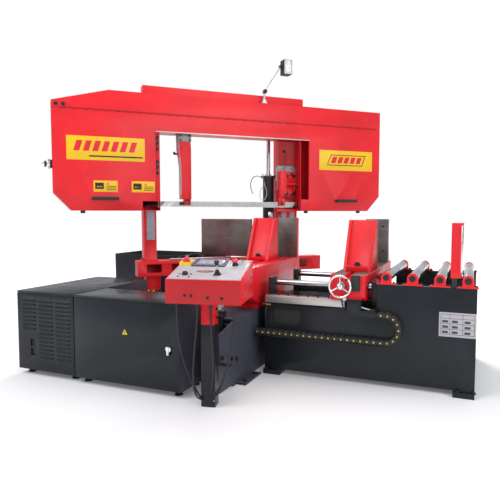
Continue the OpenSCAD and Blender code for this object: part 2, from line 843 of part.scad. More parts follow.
// A hollow column with ground ways on its front
module column(x, w) {
    wall = 12;
    color(red) difference() {
        span([x - w / 2, column_y + 8, arm_top], [x + w / 2, column_y + column_d, column_top]);
        span([x - w / 2 + wall, column_y + 8 + wall, arm_top + 10],
            [x + w / 2 - wall, column_y + column_d - wall, column_top + 1]);
    }
}

module columns() gantry() {
    column(-left_column_x, left_column_w);
    column(right_column_x, right_column_w);
    color(steel) {
        span([-left_column_x - 35, column_y, 1081], [-left_column_x + 45, column_y + 8, column_top]);
        for (x = [-78, 22])
            span([right_column_x + x, column_y, arm_top + 60], [right_column_x + x + 56, column_y + 8, column_top]);
    }
    color(red) for (c = [[-left_column_x, left_column_w + 30], [right_column_x, right_column_w + 30]])
        difference() {
            span([c[0] - c[1] / 2, arm_near, arm_top], [c[0] + c[1] / 2, arm_far, arm_top + 14]);
            span([c[0] - c[1] / 2 + 15, column_y + 8, arm_top - 1], [c[0] + c[1] / 2 - 15, column_y + column_d, arm_top + 15]);
        }
}

module lift_cylinder() color(black) gantry() {
    bore = cylinder_d - 2 * cylinder_wall;
    difference() {
        union() {
            z_rod(cylinder_x, cylinder_y, arm_top, cylinder_top - 26, cylinder_d);
            span([cylinder_x - 62, cylinder_y - 62, cylinder_top - 26], [cylinder_x + 62, cylinder_y + 62, cylinder_top]);
        }
        z_rod(cylinder_x, cylinder_y, arm_top + 14, cylinder_top - 30, bore);
        z_rod(cylinder_x, cylinder_y, cylinder_top - 31, cylinder_top + 1, lift_rod_d + 2 * run_gap);
    }
    for (dx = [-48, 48], dy = [-48, 48])
        z_rod(cylinder_x + dx, cylinder_y + dy, cylinder_top, cylinder_top + 26, 16);
}

module lift_rod() color("#c9cccd") gantry() {
    z_rod(cylinder_x, cylinder_y, rod_low, rod_head_z, lift_rod_d);
    z_rod(cylinder_x, cylinder_y, rod_low, rod_low + 50, cylinder_d - 2 * cylinder_wall - 0.2);
}

// ---- bow ----

// Outline of the whole bow, anticlockwise
BOW = [[-bow_left, bow_bottom + corner_h], [-bow_left + corner_w, bow_bottom], [-throat_left, bow_bottom],
    [-throat_left, beam_z], [throat_right, beam_z], [throat_right, bow_bottom],
    [bow_right - corner_w, bow_bottom], [bow_right, bow_bottom + corner_h], [bow_right, bow_top],
    [-bow_left + slope_w, bow_top], [-bow_left, bow_top - slope_h]];

// Outline of the door, anticlockwise
DOOR = [[-bow_left, bow_bottom + corner_h], [-bow_left + corner_w, bow_bottom],
    [-throat_left - notch_w, bow_bottom], [-throat_left - notch_w, bow_bottom + notch_h],
    [-throat_left - frame_strip, bow_bottom + notch_h], [-throat_left - frame_strip, beam_z],
    [throat_right + step_w, beam_z], [throat_right + step_w, bow_bottom + step_h],
    [throat_right, bow_bottom + step_h], [throat_right, bow_bottom],
    [bow_right - corner_w, bow_bottom], [bow_right, bow_bottom + corner_h],
    [bow_right, seam_z - door_gap], [-bow_left, seam_z - door_gap]];

module bow_body() color(red) gantry() {
    back_t = 12;
    door_back = -bow_front + door_d;
    difference() {
        union() {
            // Back plate and rim
            slab(bow_back - back_t, bow_back) polygon(BOW);
            difference() {
                slab(-bow_front, bow_back) polygon(BOW);
                slab(-bow_front - 1, bow_back - back_t) polygon(inset(BOW, case_wall));
            }
            // Front plate and shelf of the top beam
            intersection() {
                slab(-bow_front, -bow_front + case_wall) polygon(BOW);
                span([-bow_left - 1, -bow_front - 1, seam_z], [bow_right + 1, 0, bow_top + 1]);
            }
            span([-bow_left + 3, -bow_front + 3, seam_z], [bow_right - 3, bow_back - 3, seam_z + case_wall]);
            // Post beside the throat
            span([-throat_left - frame_strip, -bow_front + 12, bow_bottom + notch_h], [-throat_left, -36, beam_z + 3]);
            // Bearing bosses of the two wheels
            for (x = [-idler_x, drive_x]) y_rod(x, wheel_z, wheel_w / 2 + 14, bow_back - 3, shaft_d + 70);
            // Back panel behind the fixed guide
            span([throat_right - 194, bow_back - 30, bow_bottom + step_h], [throat_right, bow_back, beam_z]);
            // Slide shoes on both sides of each column
            for (z = [beam_z + 40, seam_z + 10]) {
                for (c = [[-left_column_x, left_column_w], [right_column_x, right_column_w]],
                    s = [-1, 1])
                    span([c[0] + s * (c[1] / 2 + 16) - 14, bow_back - 3, z],
                        [c[0] + s * (c[1] / 2 + 16) + 14, column_y + column_d - 20, z + 90]);
            }
            // Head bracket of the lift rod
            span([cylinder_x - 50, bow_back - 3, rod_head_z], [cylinder_x + 50, cylinder_y + 50, rod_head_z + 30]);
        }
        // Room for the door
        span([-bow_left - 1, -bow_front - 1, bow_bottom - 1], [bow_right + 1, door_back + 1, seam_z]);
        // Ways for the blade through the sides of the throat
        for (x = [-throat_left - frame_strip - 3, throat_right - 8])
            span([x, -20, blade_z - blade_w / 2 - 8], [x + frame_strip + 12, 20, blade_z + blade_w / 2 + 8]);
        // Bores of the wheel shafts
        for (x = [-idler_x, drive_x])
            y_rod(x, wheel_z, wheel_w / 2, bow_back + 1, shaft_d + 2 * run_gap);
    }
}

module bow_top_box() color(red) gantry() {
    top = bow_top + top_box_h;
    difference() {
        span([-1220, top_box_front, bow_top], [509, bow_back, top]);
        span([-1220 + case_wall, top_box_front + case_wall, bow_top - 1],
            [509 - case_wall, bow_back - case_wall, top - case_wall]);
    }
    // Foot and fork of the lamp
    color(steel) {
        translate([lamp_x, lamp_y, bow_top]) cylinder(h = 56, d1 = 84, d2 = 24);
        z_rod(lamp_x, lamp_y, bow_top + 50, lamp_knee_z - 18, 18);
        difference() {
            span([lamp_x - 16, lamp_y - 15, lamp_knee_z - 20], [lamp_x + 16, lamp_y + 15, lamp_knee_z + 16]);
            span([lamp_x - 17, lamp_y - 7, lamp_knee_z - 15], [lamp_x + 17, lamp_y + 7, lamp_knee_z + 17]);
            y_rod(lamp_x, lamp_knee_z, lamp_y - 16, lamp_y + 16, 12 + 2 * run_gap);
        }
    }
}

// Ends of the lamp arm
lamp_dx = lamp_len * sin(lamp_lean);
lamp_dz = lamp_len * cos(lamp_lean);

module lamp_arm() color(steel) gantry() {
    y_rod(lamp_x, lamp_knee_z, lamp_y - 15, lamp_y + 15, 12);
    translate([lamp_x, lamp_y, lamp_knee_z]) rotate([0, lamp_lean, 0]) z_rod(0, 0, 10, lamp_len - 10, 12);
    difference() {
        for (e = [[lamp_x, lamp_knee_z], [lamp_x + lamp_dx, lamp_knee_z + lamp_dz]])
            y_rod(e[0], e[1], lamp_y - 6, lamp_y + 6, 24);
        y_rod(lamp_x + lamp_dx, lamp_knee_z + lamp_dz, lamp_y - 7, lamp_y + 7, 12 + 2 * run_gap);
    }
}

module lamp_head() gantry() {
    x = lamp_x + lamp_dx;
    z = lamp_knee_z + lamp_dz;
    color(black) {
        y_rod(x, z, lamp_y - 19, lamp_y + 19, 12);
        for (y = [lamp_y - 21, lamp_y + 11]) span([x - 14, y, z - 14], [x + 18, y + 10, z + 14]);
        difference() {
            span([x + 16, lamp_y - 65, z - 84], [x + 106, lamp_y + 40, z + 66]);
            span([x + 22, lamp_y - 66, z - 78], [x + 100, lamp_y, z + 60]);
        }
    }
    color("#f4f2e6") span([x + 22, lamp_y - 58, z - 78], [x + 100, lamp_y - 50, z + 60]);
}

module bow_door() color(red) gantry() {
    sheet = 4;
    difference() {
        slab(-bow_front, -bow_front + door_d) polygon(DOOR);
        slab(-bow_front + sheet, -bow_front + door_d + 1) polygon(inset(DOOR, sheet));
    }
    color(black) for (x = [[-1707, -1488], [883, 1118]]) {
        for (e = x) y_rod(e, bow_bottom + 112, -bow_front - 40, -bow_front, 14);
        span([x[0] - 9, -bow_front - 52, bow_bottom + 96], [x[1] + 9, -bow_front - 34, bow_bottom + 128]);
    }
}

module blade() color("#b9bcbf") gantry() {
    r = wheel_r + blade_gap;
    zc = wheel_z - r - blade_t / 2;
    // Wraps on the two wheels
    for (s = [[-idler_x, 90], [drive_x, -90]])
        translate([s[0], 0, wheel_z]) rotate([90, 0, 0]) rotate([0, 0, s[1]])
            rotate_extrude(angle = 180, $fn = 128) translate([r, -blade_w / 2]) square([blade_t, blade_w]);
    // Flat run above, and the twists and upright run below
    span([-idler_x, -blade_w / 2, wheel_z + r], [drive_x, blade_w / 2, wheel_z + r + blade_t]);
    left_end = -idler_x + twist_start;
    right_end = drive_x - twist_start;
    for (s = [[-idler_x, left_end], [right_end, drive_x]])
        span([s[0], -blade_w / 2, zc - blade_t / 2], [s[1], blade_w / 2, zc + blade_t / 2]);
    for (s = [[left_end, 0], [right_end - twist_len, 90]])
        translate([s[0], 0, zc]) rotate([90, 0, 90])
            linear_extrude(twist_len, twist = -90, slices = 12, $fn = 4) rotate(s[1])
                square([blade_w, blade_t], center = true);
    span([left_end + twist_len, -blade_t / 2, zc - blade_w / 2],
        [right_end - twist_len, blade_t / 2, zc + blade_w / 2]);
}

// A band wheel with a rim, a web with round openings, a hub and its shaft
module band_wheel(x) gantry() {
    half = wheel_w / 2;
    color("#7e2226") difference() {
        y_rod(x, wheel_z, -half, half, 2 * wheel_r, $fn = 128);
        y_rod(x, wheel_z, -half - 1, -12, 2 * wheel_r - 70);
        y_rod(x, wheel_z, 12, half + 1, 2 * wheel_r - 70);
        for (a = [0:60:300])
            y_rod(x + 215 * cos(a), wheel_z + 215 * sin(a), -13, 13, 130);
    }
    color(steel) {
        y_rod(x, wheel_z, -half - 6, half + 8, 160);
        y_rod(x, wheel_z, -half - 20, bow_back + 10, shaft_d);
    }
}

module drive_wheel() band_wheel(drive_x);
module idler_wheel() band_wheel(-idler_x);

module gearbox() color("#8a1a1e") gantry() {
    difference() {
        union() {
            y_rod(drive_x, wheel_z, bow_back, bow_back + 130, 330);
            span([drive_x - 90, bow_back + 20, wheel_z + 60], [drive_x + 90, bow_back + 200, wheel_z + 300]);
        }
        y_rod(drive_x, wheel_z, bow_back - 1, bow_back + 40, shaft_d + 2 * run_gap);
    }
}

module drive_motor() color("#30353a") gantry() {
    y = bow_back + 112;
    z_rod(drive_x, y, wheel_z + 300, wheel_z + 320, 200);
    difference() {
        z_rod(drive_x, y, wheel_z + 320, wheel_z + 600, 190);
        for (a = [0:20:340])
            translate([drive_x, y, 0]) rotate([0, 0, a]) span([90, -4, wheel_z + 335], [110, 4, wheel_z + 585]);
    }
    z_rod(drive_x, y, wheel_z + 600, wheel_z + 640, 180);
}

module tension_unit() gantry() {
    x = -bow_left;
    color(steel) {
        x_rod(0, wheel_z - 20, x - 88, x, 30);
        for (dz = [-52, 12]) x_rod(0, wheel_z + dz, x - 40, x, 14);
    }
    color(black) {
        x_rod(0, wheel_z - 20, x - 20, x, 60);
        // Slide block behind the idler
        difference() {
            span([-idler_x - 140, bow_back, wheel_z - 90], [-idler_x + 140, bow_back + 40, wheel_z + 90]);
            y_rod(-idler_x, wheel_z, bow_back - 1, bow_back + 41, shaft_d + 2 * run_gap);
        }
    }
}

// Carbide pads on both sides of the blade, under a block
module guide_pads(x0, x1) {
    gap = 1;
    for (s = [-1, 1])
        span([x0, min(s * (blade_t / 2 + gap), s * 22), blade_z - 12],
            [x1, max(s * (blade_t / 2 + gap), s * 22), blade_z + blade_w / 2 + 6]);
    span([x0, -22, blade_z + blade_w / 2 + 6], [x1, 22, blade_z + blade_w / 2 + 40]);
}

module fixed_guide() gantry() {
    x0 = fixed_guide_x;
    top = blade_z + blade_w / 2 + 40;
    color(red) {
        guide_pads(x0, x0 + 70);
        span([x0 + 10, -30, top], [x0 + 40, bow_back - 30, 1800]);
        span([x0 + 40, bow_back - 46, top + 20], [throat_right - 10, bow_back - 30, 1800]);
        span([x0 + 40, -20, 1655], [throat_right - 10, bow_back - 46, 1672]);
        span([x0 - 8, 10, blade_z - 80], [throat_right, bow_back, blade_z - blade_w / 2 - 20]);
        span([x0 + 60, bow_back - 20, blade_z - 30], [throat_right, bow_back, bow_bottom + step_h]);
    }
    color(steel) span([x0 - 10, bow_back - 46, 1690], [x0 + 10, bow_back - 30, 1850]);
    color(black) for (x = [300, 400], z = [1550, 1770]) y_rod(x, z, bow_back - 58, bow_back - 46, 28);
}

module guide_arm() gantry() {
    x0 = -guide_x - guide_w / 2;
    x1 = -guide_x + guide_w / 2;
    top = blade_z + blade_w / 2 + 40;
    color(red) {
        // Arm, wider at its top
        slab(-46, 40) polygon([[x0 + 28, top], [x1, top], [x1, beam_z - 140], [x1 - 6, beam_z - 70],
            [x0, beam_z - 70], [x0, beam_z - 140], [x0 + 28, beam_z - 330]]);
        guide_pads(x0 + 60, x1);
        span([x0 + 28, -44, top - 20], [x1, -22, top]);
        span([x0 + 28, 22, top - 20], [x1, 38, top]);
    }
    color("#8c8f90") span([x0, -56, beam_z - 70], [x1, 50, beam_z - slide_gap]);
    color(black) {
        y_rod(x0 + 42, blade_z + 4, -40, -blade_t / 2 - 1, 34);
        x_rod(-3, beam_z - 190, x0 - 22, x0, 20);
    }
}

base_frame();
main_vise();
fixed_jaws();
outfeed_table();
hydraulic_cabinet();
hydraulic_door();
power_pack();
electrical_cabinet();
electrical_door();
door_lock();
electrical_panel();
feed_table();
roller_blocks();
feed_rail();
guide_rods();
rod_supports();
guide_post();
roller_1();
roller_2();
roller_3();
roller_4();
guide_roller();
feed_carriage();
feed_rear_jaw();
feed_jaw();
handwheel();
main_jaw();
chain_lower();
chain_loop();
valve_block();
console_post();
console_head();
console_panel();
isolator();
emergency_stop();
start_button();
stop_button();
mode_knob();
joystick();
cable_1();
cable_2();
cable_3();
cable_4();
swivel_arm();
columns();
lift_cylinder();
lift_rod();
bow_body();
bow_top_box();
bow_door();
blade();
drive_wheel();
idler_wheel();
gearbox();
drive_motor();
tension_unit();
fixed_guide();
guide_arm();
lamp_arm();
lamp_head();
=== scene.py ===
"""Looks of a double-column mitring band saw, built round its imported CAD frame.

Lengths are in metres. Pieces on the saw bow are drawn in the bow's own frame, and
pieces on the console in the console's own frame, then turned into place.
"""

import json
import logging
import math
from collections.abc import Callable, Iterable, Sequence
from dataclasses import dataclass, field
from enum import Enum

import bpy
from mathutils import Matrix, Vector

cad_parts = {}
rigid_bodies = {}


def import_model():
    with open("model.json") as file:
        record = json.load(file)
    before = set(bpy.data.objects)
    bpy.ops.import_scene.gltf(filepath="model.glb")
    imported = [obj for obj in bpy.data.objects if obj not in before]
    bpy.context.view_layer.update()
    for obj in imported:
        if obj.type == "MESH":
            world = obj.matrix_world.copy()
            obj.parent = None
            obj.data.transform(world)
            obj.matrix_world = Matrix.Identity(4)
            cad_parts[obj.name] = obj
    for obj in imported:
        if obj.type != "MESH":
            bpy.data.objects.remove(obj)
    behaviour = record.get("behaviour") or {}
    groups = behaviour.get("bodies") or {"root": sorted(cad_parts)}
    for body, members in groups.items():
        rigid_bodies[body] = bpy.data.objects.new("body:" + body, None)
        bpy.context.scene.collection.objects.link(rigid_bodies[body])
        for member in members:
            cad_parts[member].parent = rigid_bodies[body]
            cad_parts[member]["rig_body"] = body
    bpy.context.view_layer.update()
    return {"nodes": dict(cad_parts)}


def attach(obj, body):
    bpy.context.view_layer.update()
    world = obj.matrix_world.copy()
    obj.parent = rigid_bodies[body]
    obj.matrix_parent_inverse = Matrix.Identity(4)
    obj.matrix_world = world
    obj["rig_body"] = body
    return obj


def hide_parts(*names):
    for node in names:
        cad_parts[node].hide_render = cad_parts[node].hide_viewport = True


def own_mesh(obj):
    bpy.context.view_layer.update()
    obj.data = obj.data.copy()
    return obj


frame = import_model()
LOG = logging.getLogger("band_saw")

Triple = tuple[float, float, float]
Pair = tuple[float, float]
Test = Callable[[Vector, Vector], bool]

ORIGIN: Triple = (0, 0, 0)
RIGHT: Triple = (1, 0, 0)
FRONT: Triple = (0, -1, 0)
BACK: Triple = (0, 1, 0)
UP: Triple = (0, 0, 1)
HERE = Matrix.Identity(4)
GANTRY = Matrix.Rotation(math.radians(45), 4, "Z")
CONSOLE = Matrix.Translation((0.455, -2.129, 0.907)) @ Matrix.Rotation(math.radians(12), 4, "Z")
PANEL = CONSOLE @ Matrix.Rotation(math.radians(12.8), 4, "X") @ Matrix.Translation((0, 0, 0.003))


# ---- finishes ----


class Graph:
    """The node graph of one material."""

    def __init__(self, name: str) -> None:
        """Starts a material of that name with an empty surface shader."""
        self.material = bpy.data.materials.new(name)
        self.material.use_nodes = True
        tree = self.material.node_tree
        tree.nodes.clear()
        self.nodes, self.links = tree.nodes, tree.links
        self.shader = self.add("ShaderNodeBsdfPrincipled")
        output = self.add("ShaderNodeOutputMaterial")
        self.link(self.shader, "BSDF", output, "Surface")
        self.place = self.add("ShaderNodeTexCoord")

    def add(self, kind: str, **settings: object) -> bpy.types.Node:
        """Adds a node.

        Args:
            kind: The node's type name.
            settings: Properties of the node, and sockets by their name.

        Returns:
            The new node.
        """
        node = self.nodes.new(kind)
        for key, value in settings.items():
            label = key.replace("_", " ").title()
            if hasattr(node, key):
                setattr(node, key, value)
            elif label in node.inputs:
                node.inputs[label].default_value = value
        return node

    def link(self, a: bpy.types.Node, out: str | int, b: bpy.types.Node, into: str | int) -> None:
        """Joins an output socket to an input socket."""
        self.links.new(a.outputs[out], b.inputs[into])

    def mapped(self, scale: Triple = (1, 1, 1), turn: float = 0.0) -> bpy.types.Node:
        """Object coordinates, scaled and turned about Z, so that a pattern follows the piece."""
        turned = self.add("ShaderNodeMapping")
        turned.inputs["Rotation"].default_value = (0, 0, math.radians(turn))
        self.link(self.place, "Object", turned, "Vector")
        if scale == (1, 1, 1):
            return turned
        node = self.add("ShaderNodeMapping")
        node.inputs["Scale"].default_value = scale
        self.link(turned, "Vector", node, "Vector")
        return node

    def noise(self, place: bpy.types.Node, scale: float, detail: float = 3, rough: float = 0.5) -> bpy.types.Node:
        """A noise pattern on the given coordinates."""
        node = self.add("ShaderNodeTexNoise", scale=scale, detail=detail, roughness=rough)
        self.link(place, "Vector", node, "Vector")
        return node

    def ramp(self, source: bpy.types.Node, out: str,
             stops: Sequence[tuple[float, Sequence[float]]]) -> bpy.types.Node:
        """A colour ramp over a pattern.

        Args:
            source: The node that gives the pattern.
            out: Its output socket.
            stops: Each stop's place and its colour.

        Returns:
            The ramp's node.
        """
        node = self.add("ShaderNodeValToRGB")
        ends = node.color_ramp.elements
        while len(ends) < len(stops):
            ends.new(0.5)
        for end, (at, colour) in zip(ends, stops):
            end.position = at
            end.color = (*colour, 1) if len(colour) == 3 else colour
        self.link(source, out, node, "Fac")
        return node

    def roughness(self, source: bpy.types.Node, low: float, high: float) -> None:
        """Varies the surface's roughness over a pattern, from low to high."""
        node = self.add("ShaderNodeMapRange")
        node.inputs["From Min"].default_value, node.inputs["From Max"].default_value = 0.3, 0.7
        node.inputs["To Min"].default_value, node.inputs["To Max"].default_value = low, high
        self.link(source, 0, node, "Value")
        self.link(node, "Result", self.shader, "Roughness")

    def bump(self, source: bpy.types.Node, strength: float, height: float) -> None:
        """Raises the surface by a pattern."""
        node = self.add("ShaderNodeBump", strength=strength, distance=height)
        self.link(source, 0, node, "Height")
        self.link(node, "Normal", self.shader, "Normal")

    def socket(self, **values: object) -> None:
        """Sets the shader's own sockets, with _ for a space."""
        for key, value in values.items():
            self.shader.inputs[key.replace("_", " ").title().replace("Ior", "IOR")].default_value = value


@dataclass(frozen=True)
class Finish:
    """A surface's name and its colour."""

    name: str
    colour: Triple

    def build(self) -> bpy.types.Material:
        """The material, made on its first use."""
        found = bpy.data.materials.get(self.name)
        if found is not None:
            return found
        graph = Graph(self.name)
        self.draw(graph)
        return graph.material

    def draw(self, graph: Graph) -> None:
        """Fills in the node graph."""

    def tinted(self, factor: float) -> Triple:
        """The colour, lighter or darker by a factor."""
        return tuple(min(1.0, c * factor) for c in self.colour)


@dataclass(frozen=True)
class Enamel(Finish):
    """Sprayed machine enamel: slow colour clouds, orange peel and a thin film of dust."""

    rough: float = 0.3
    coat: float = 0.35
    cloud: float = 0.12
    peel: float = 0.12
    peel_scale: float = 260.0
    spec: float = 0.35

    def draw(self, graph: Graph) -> None:
        """Fills in the node graph."""
        place = graph.mapped()
        clouds = graph.noise(place, 2.2, 5, 0.6)
        colour = graph.ramp(
            clouds, "Fac",
            [(0.32, self.tinted(1 - self.cloud)), (0.5, self.colour), (0.7, self.tinted(1 + self.cloud))],
        )
        specks = graph.noise(place, 90, 2, 0.7)
        dust = graph.ramp(specks, "Fac", [(0.66, (0, 0, 0)), (0.78, (0.10, 0.10, 0.10))])
        mix = graph.add("ShaderNodeMix", data_type="RGBA", blend_type="SCREEN")
        mix.inputs["Factor"].default_value = 0.35
        graph.links.new(colour.outputs["Color"], mix.inputs[6])
        graph.links.new(dust.outputs["Color"], mix.inputs[7])
        graph.links.new(mix.outputs[2], graph.shader.inputs["Base Color"])
        graph.roughness(graph.noise(place, 7, 4), self.rough - 0.04, self.rough + 0.08)
        graph.bump(graph.noise(place, self.peel_scale, 2), self.peel, 0.0006)
        graph.socket(coat_weight=self.coat, coat_roughness=0.14, specular_ior_level=self.spec)


@dataclass(frozen=True)
class Machined(Finish):
    """Ground or milled steel with tool lines that run one way, and a few stains."""

    lines: Triple = (6, 500, 500)
    turn: float = 0.0
    rough: float = 0.3
    contrast: float = 0.3
    stain: float = 0.25
    metal: float = 1.0

    def draw(self, graph: Graph) -> None:
        """Fills in the node graph."""
        marks = graph.noise(graph.mapped(self.lines, self.turn), 1, 4, 0.6)
        colour = graph.ramp(
            marks, "Fac",
            [(0.3, self.tinted(1 - self.contrast)), (0.52, self.colour), (0.72, self.tinted(1 + self.contrast))],
        )
        stains = graph.noise(graph.mapped(), 9, 6, 0.65)
        shade = graph.ramp(stains, "Fac", [(0.35, (1 - self.stain,) * 3), (0.6, (1, 1, 1))])
        mix = graph.add("ShaderNodeMix", data_type="RGBA", blend_type="MULTIPLY")
        mix.inputs["Factor"].default_value = 1
        graph.links.new(colour.outputs["Color"], mix.inputs[6])
        graph.links.new(shade.outputs["Color"], mix.inputs[7])
        graph.links.new(mix.outputs[2], graph.shader.inputs["Base Color"])
        graph.roughness(stains, self.rough - 0.05, self.rough + 0.1)
        graph.bump(marks, 0.12, 0.0004)
        graph.socket(metallic=self.metal)


@dataclass(frozen=True)
class Moulded(Finish):
    """Moulded plastic or rubber with a fine grain."""

    rough: float = 0.45
    grain: float = 600.0
    depth: float = 0.15

    def draw(self, graph: Graph) -> None:
        """Fills in the node graph."""
        place = graph.mapped()
        tone = graph.noise(place, 30, 4, 0.6)
        colour = graph.ramp(tone, "Fac", [(0.35, self.tinted(0.85)), (0.65, self.tinted(1.15))])
        graph.link(colour, "Color", graph.shader, "Base Color")
        graph.roughness(tone, self.rough - 0.05, self.rough + 0.08)
        graph.bump(graph.noise(place, self.grain, 2), self.depth, 0.0003)


@dataclass(frozen=True)
class Floor(Finish):
    """A smooth pale studio floor."""

    def draw(self, graph: Graph) -> None:
        """Fills in the node graph."""
        tone = graph.noise(graph.mapped(), 0.6, 3)
        colour = graph.ramp(tone, "Fac", [(0.3, self.tinted(0.99)), (0.7, self.tinted(1.01))])
        graph.link(colour, "Color", graph.shader, "Base Color")
        ball = graph.add("ShaderNodeTexGradient", gradient_type="SPHERICAL")
        graph.link(graph.mapped((1 / 16,) * 3), 0, ball, 0)
        glow = graph.ramp(ball, "Fac", [(0.55, (0.60,) * 3), (0.84, (0.10,) * 3)])
        graph.link(glow, "Color", graph.shader, "Emission Color")
        graph.socket(roughness=0.6, specular_ior_level=0.1, emission_strength=1.0)


RED = Enamel("red_enamel", (0.72, 0.010, 0.018), rough=0.36, coat=0.06)
# Deeper red: painted shade on the red enamel where faces turn from the light or lie inside (console front, bow case,
# door inside, swivel arm inside); elsewhere simply a darker red.
DEEP_RED_AND_SHADE = Enamel("deep_red_and_painted_shade_enamel", (0.42, 0.006, 0.010), rough=0.4, coat=0.04)
SLATE = Enamel("slate_enamel", (0.010, 0.013, 0.017), rough=0.26, coat=0.0, cloud=0.18, peel=0.12, spec=0.30)
# Lighter grey-blue: painted light on the right-pointing sides of the slate cabinets and feed table; also the base
# frame's colour and the chart's cells.
GREY_BLUE_AND_LIT_SIDE = Enamel("grey_blue_and_lit_side_enamel", (0.050, 0.053, 0.074), rough=0.42, coat=0.0, cloud=0.18, peel=0.2)
MOTOR_GREY = Enamel("motor_enamel", (0.035, 0.04, 0.045), rough=0.4)
PALE_GREY = Enamel("pale_grey_enamel", (0.43, 0.41, 0.44), rough=0.4, coat=0.05, cloud=0.05)
PANEL_WHITE = Enamel("white_enamel", (0.58, 0.59, 0.56), rough=0.4, coat=0.1, cloud=0.05)
WHEEL_RED = Enamel("wheel_enamel", (0.20, 0.02, 0.025), rough=0.45, coat=0.1, peel=0.3, peel_scale=120)
BLACK_STEEL = Enamel("black_oxide", (0.012, 0.013, 0.015), rough=0.38, coat=0.1)
YELLOW = Enamel("yellow_enamel", (0.82, 0.50, 0.006), rough=0.36, coat=0.1, cloud=0.04, peel=0.05)
SIGN_RED = Enamel("sign_red", (0.72, 0.006, 0.03), rough=0.36, coat=0.1, cloud=0.03, peel=0.05)
SIGN_BLACK = Enamel("sign_black", (0.012, 0.012, 0.012), rough=0.4, coat=0.0, cloud=0.03, peel=0.05)
JAW = Machined("milled_jaw", (0.19, 0.162, 0.150), lines=(7, 7, 330), rough=0.36, contrast=0.28, metal=0.6)
GROUND = Machined("ground_steel", (0.50, 0.48, 0.45), lines=(5, 420, 420), rough=0.3, contrast=0.16)
WAYS = Machined("ground_ways", (0.40, 0.45, 0.52), lines=(420, 420, 6), turn=-45, rough=0.42, contrast=0.1, metal=0.1)
BAND = Machined("band_steel", (0.36, 0.36, 0.355), lines=(4, 420, 420), turn=-45, rough=0.26, contrast=0.15)
CHROME = Machined("hard_chrome", (0.80, 0.81, 0.82), lines=(260, 8, 260), rough=0.1, contrast=0.05, stain=0.08)
ROD_CHROME = Machined("rod_chrome", (0.42, 0.42, 0.44), lines=(9, 260, 260), rough=0.2, contrast=0.06, stain=0.1)
TURNED = Machined("turned_steel", (0.66, 0.67, 0.68), lines=(300, 6, 300), rough=0.16, contrast=0.14, stain=0.25)
CAST = Machined("cast_iron", (0.30, 0.31, 0.31), lines=(120, 120, 120), rough=0.5, contrast=0.2, metal=0.4)
BRASS = Machined("brass", (0.62, 0.43, 0.12), lines=(200, 200, 200), rough=0.25, contrast=0.08, stain=0.1)
ZINC = Machined("zinc_plate", (0.58, 0.58, 0.56), lines=(180, 180, 180), rough=0.28, contrast=0.12)
BLACK = Moulded("black_plastic", (0.013, 0.013, 0.015), rough=0.42)
RUBBER = Moulded("black_rubber", (0.011, 0.011, 0.012), rough=0.5, grain=420)
GREY_HOSE = Moulded("grey_hose", (0.13, 0.13, 0.20), rough=0.4)
RED_PLASTIC = Moulded("red_plastic", (0.64, 0.02, 0.02), rough=0.24, depth=0.05)
GREEN_PLASTIC = Moulded("green_plastic", (0.01, 0.20, 0.085), rough=0.25, depth=0.05)
YELLOW_PLASTIC = Moulded("yellow_plastic", (0.82, 0.62, 0.02), rough=0.3, depth=0.05)
SCREEN = Moulded("screen_glass", (0.22, 0.27, 0.40), rough=0.1, depth=0.0)
SCREEN_BAR = Moulded("screen_bar", (0.42, 0.36, 0.44), rough=0.1, depth=0.0)
SCREEN_KEY = Moulded("screen_key", (0.12, 0.30, 0.22), rough=0.1, depth=0.0)
BEZEL = Moulded("bezel_plastic", (0.07, 0.06, 0.10), rough=0.35)
LENS = Moulded("lamp_lens", (0.72, 0.71, 0.64), rough=0.12, depth=0.05)
TANK = Enamel("tank_enamel", (0.10, 0.11, 0.125), rough=0.45, coat=0.1)
PALE_FLOOR = Floor("studio_floor", (0.80, 0.80, 0.805))


# ---- modelling ----


class Plane(Enum):
    """The plane that an outline is drawn in."""

    XY = (0, 1, 2)
    XZ = (0, 2, 1)
    YZ = (1, 2, 0)

    def point(self, a: float, b: float, c: float) -> Vector:
        """The point at a and b in the plane and c along its normal."""
        out = Vector(ORIGIN)
        for axis, value in zip(self.value, (a, b, c)):
            out[axis] = value
        return out


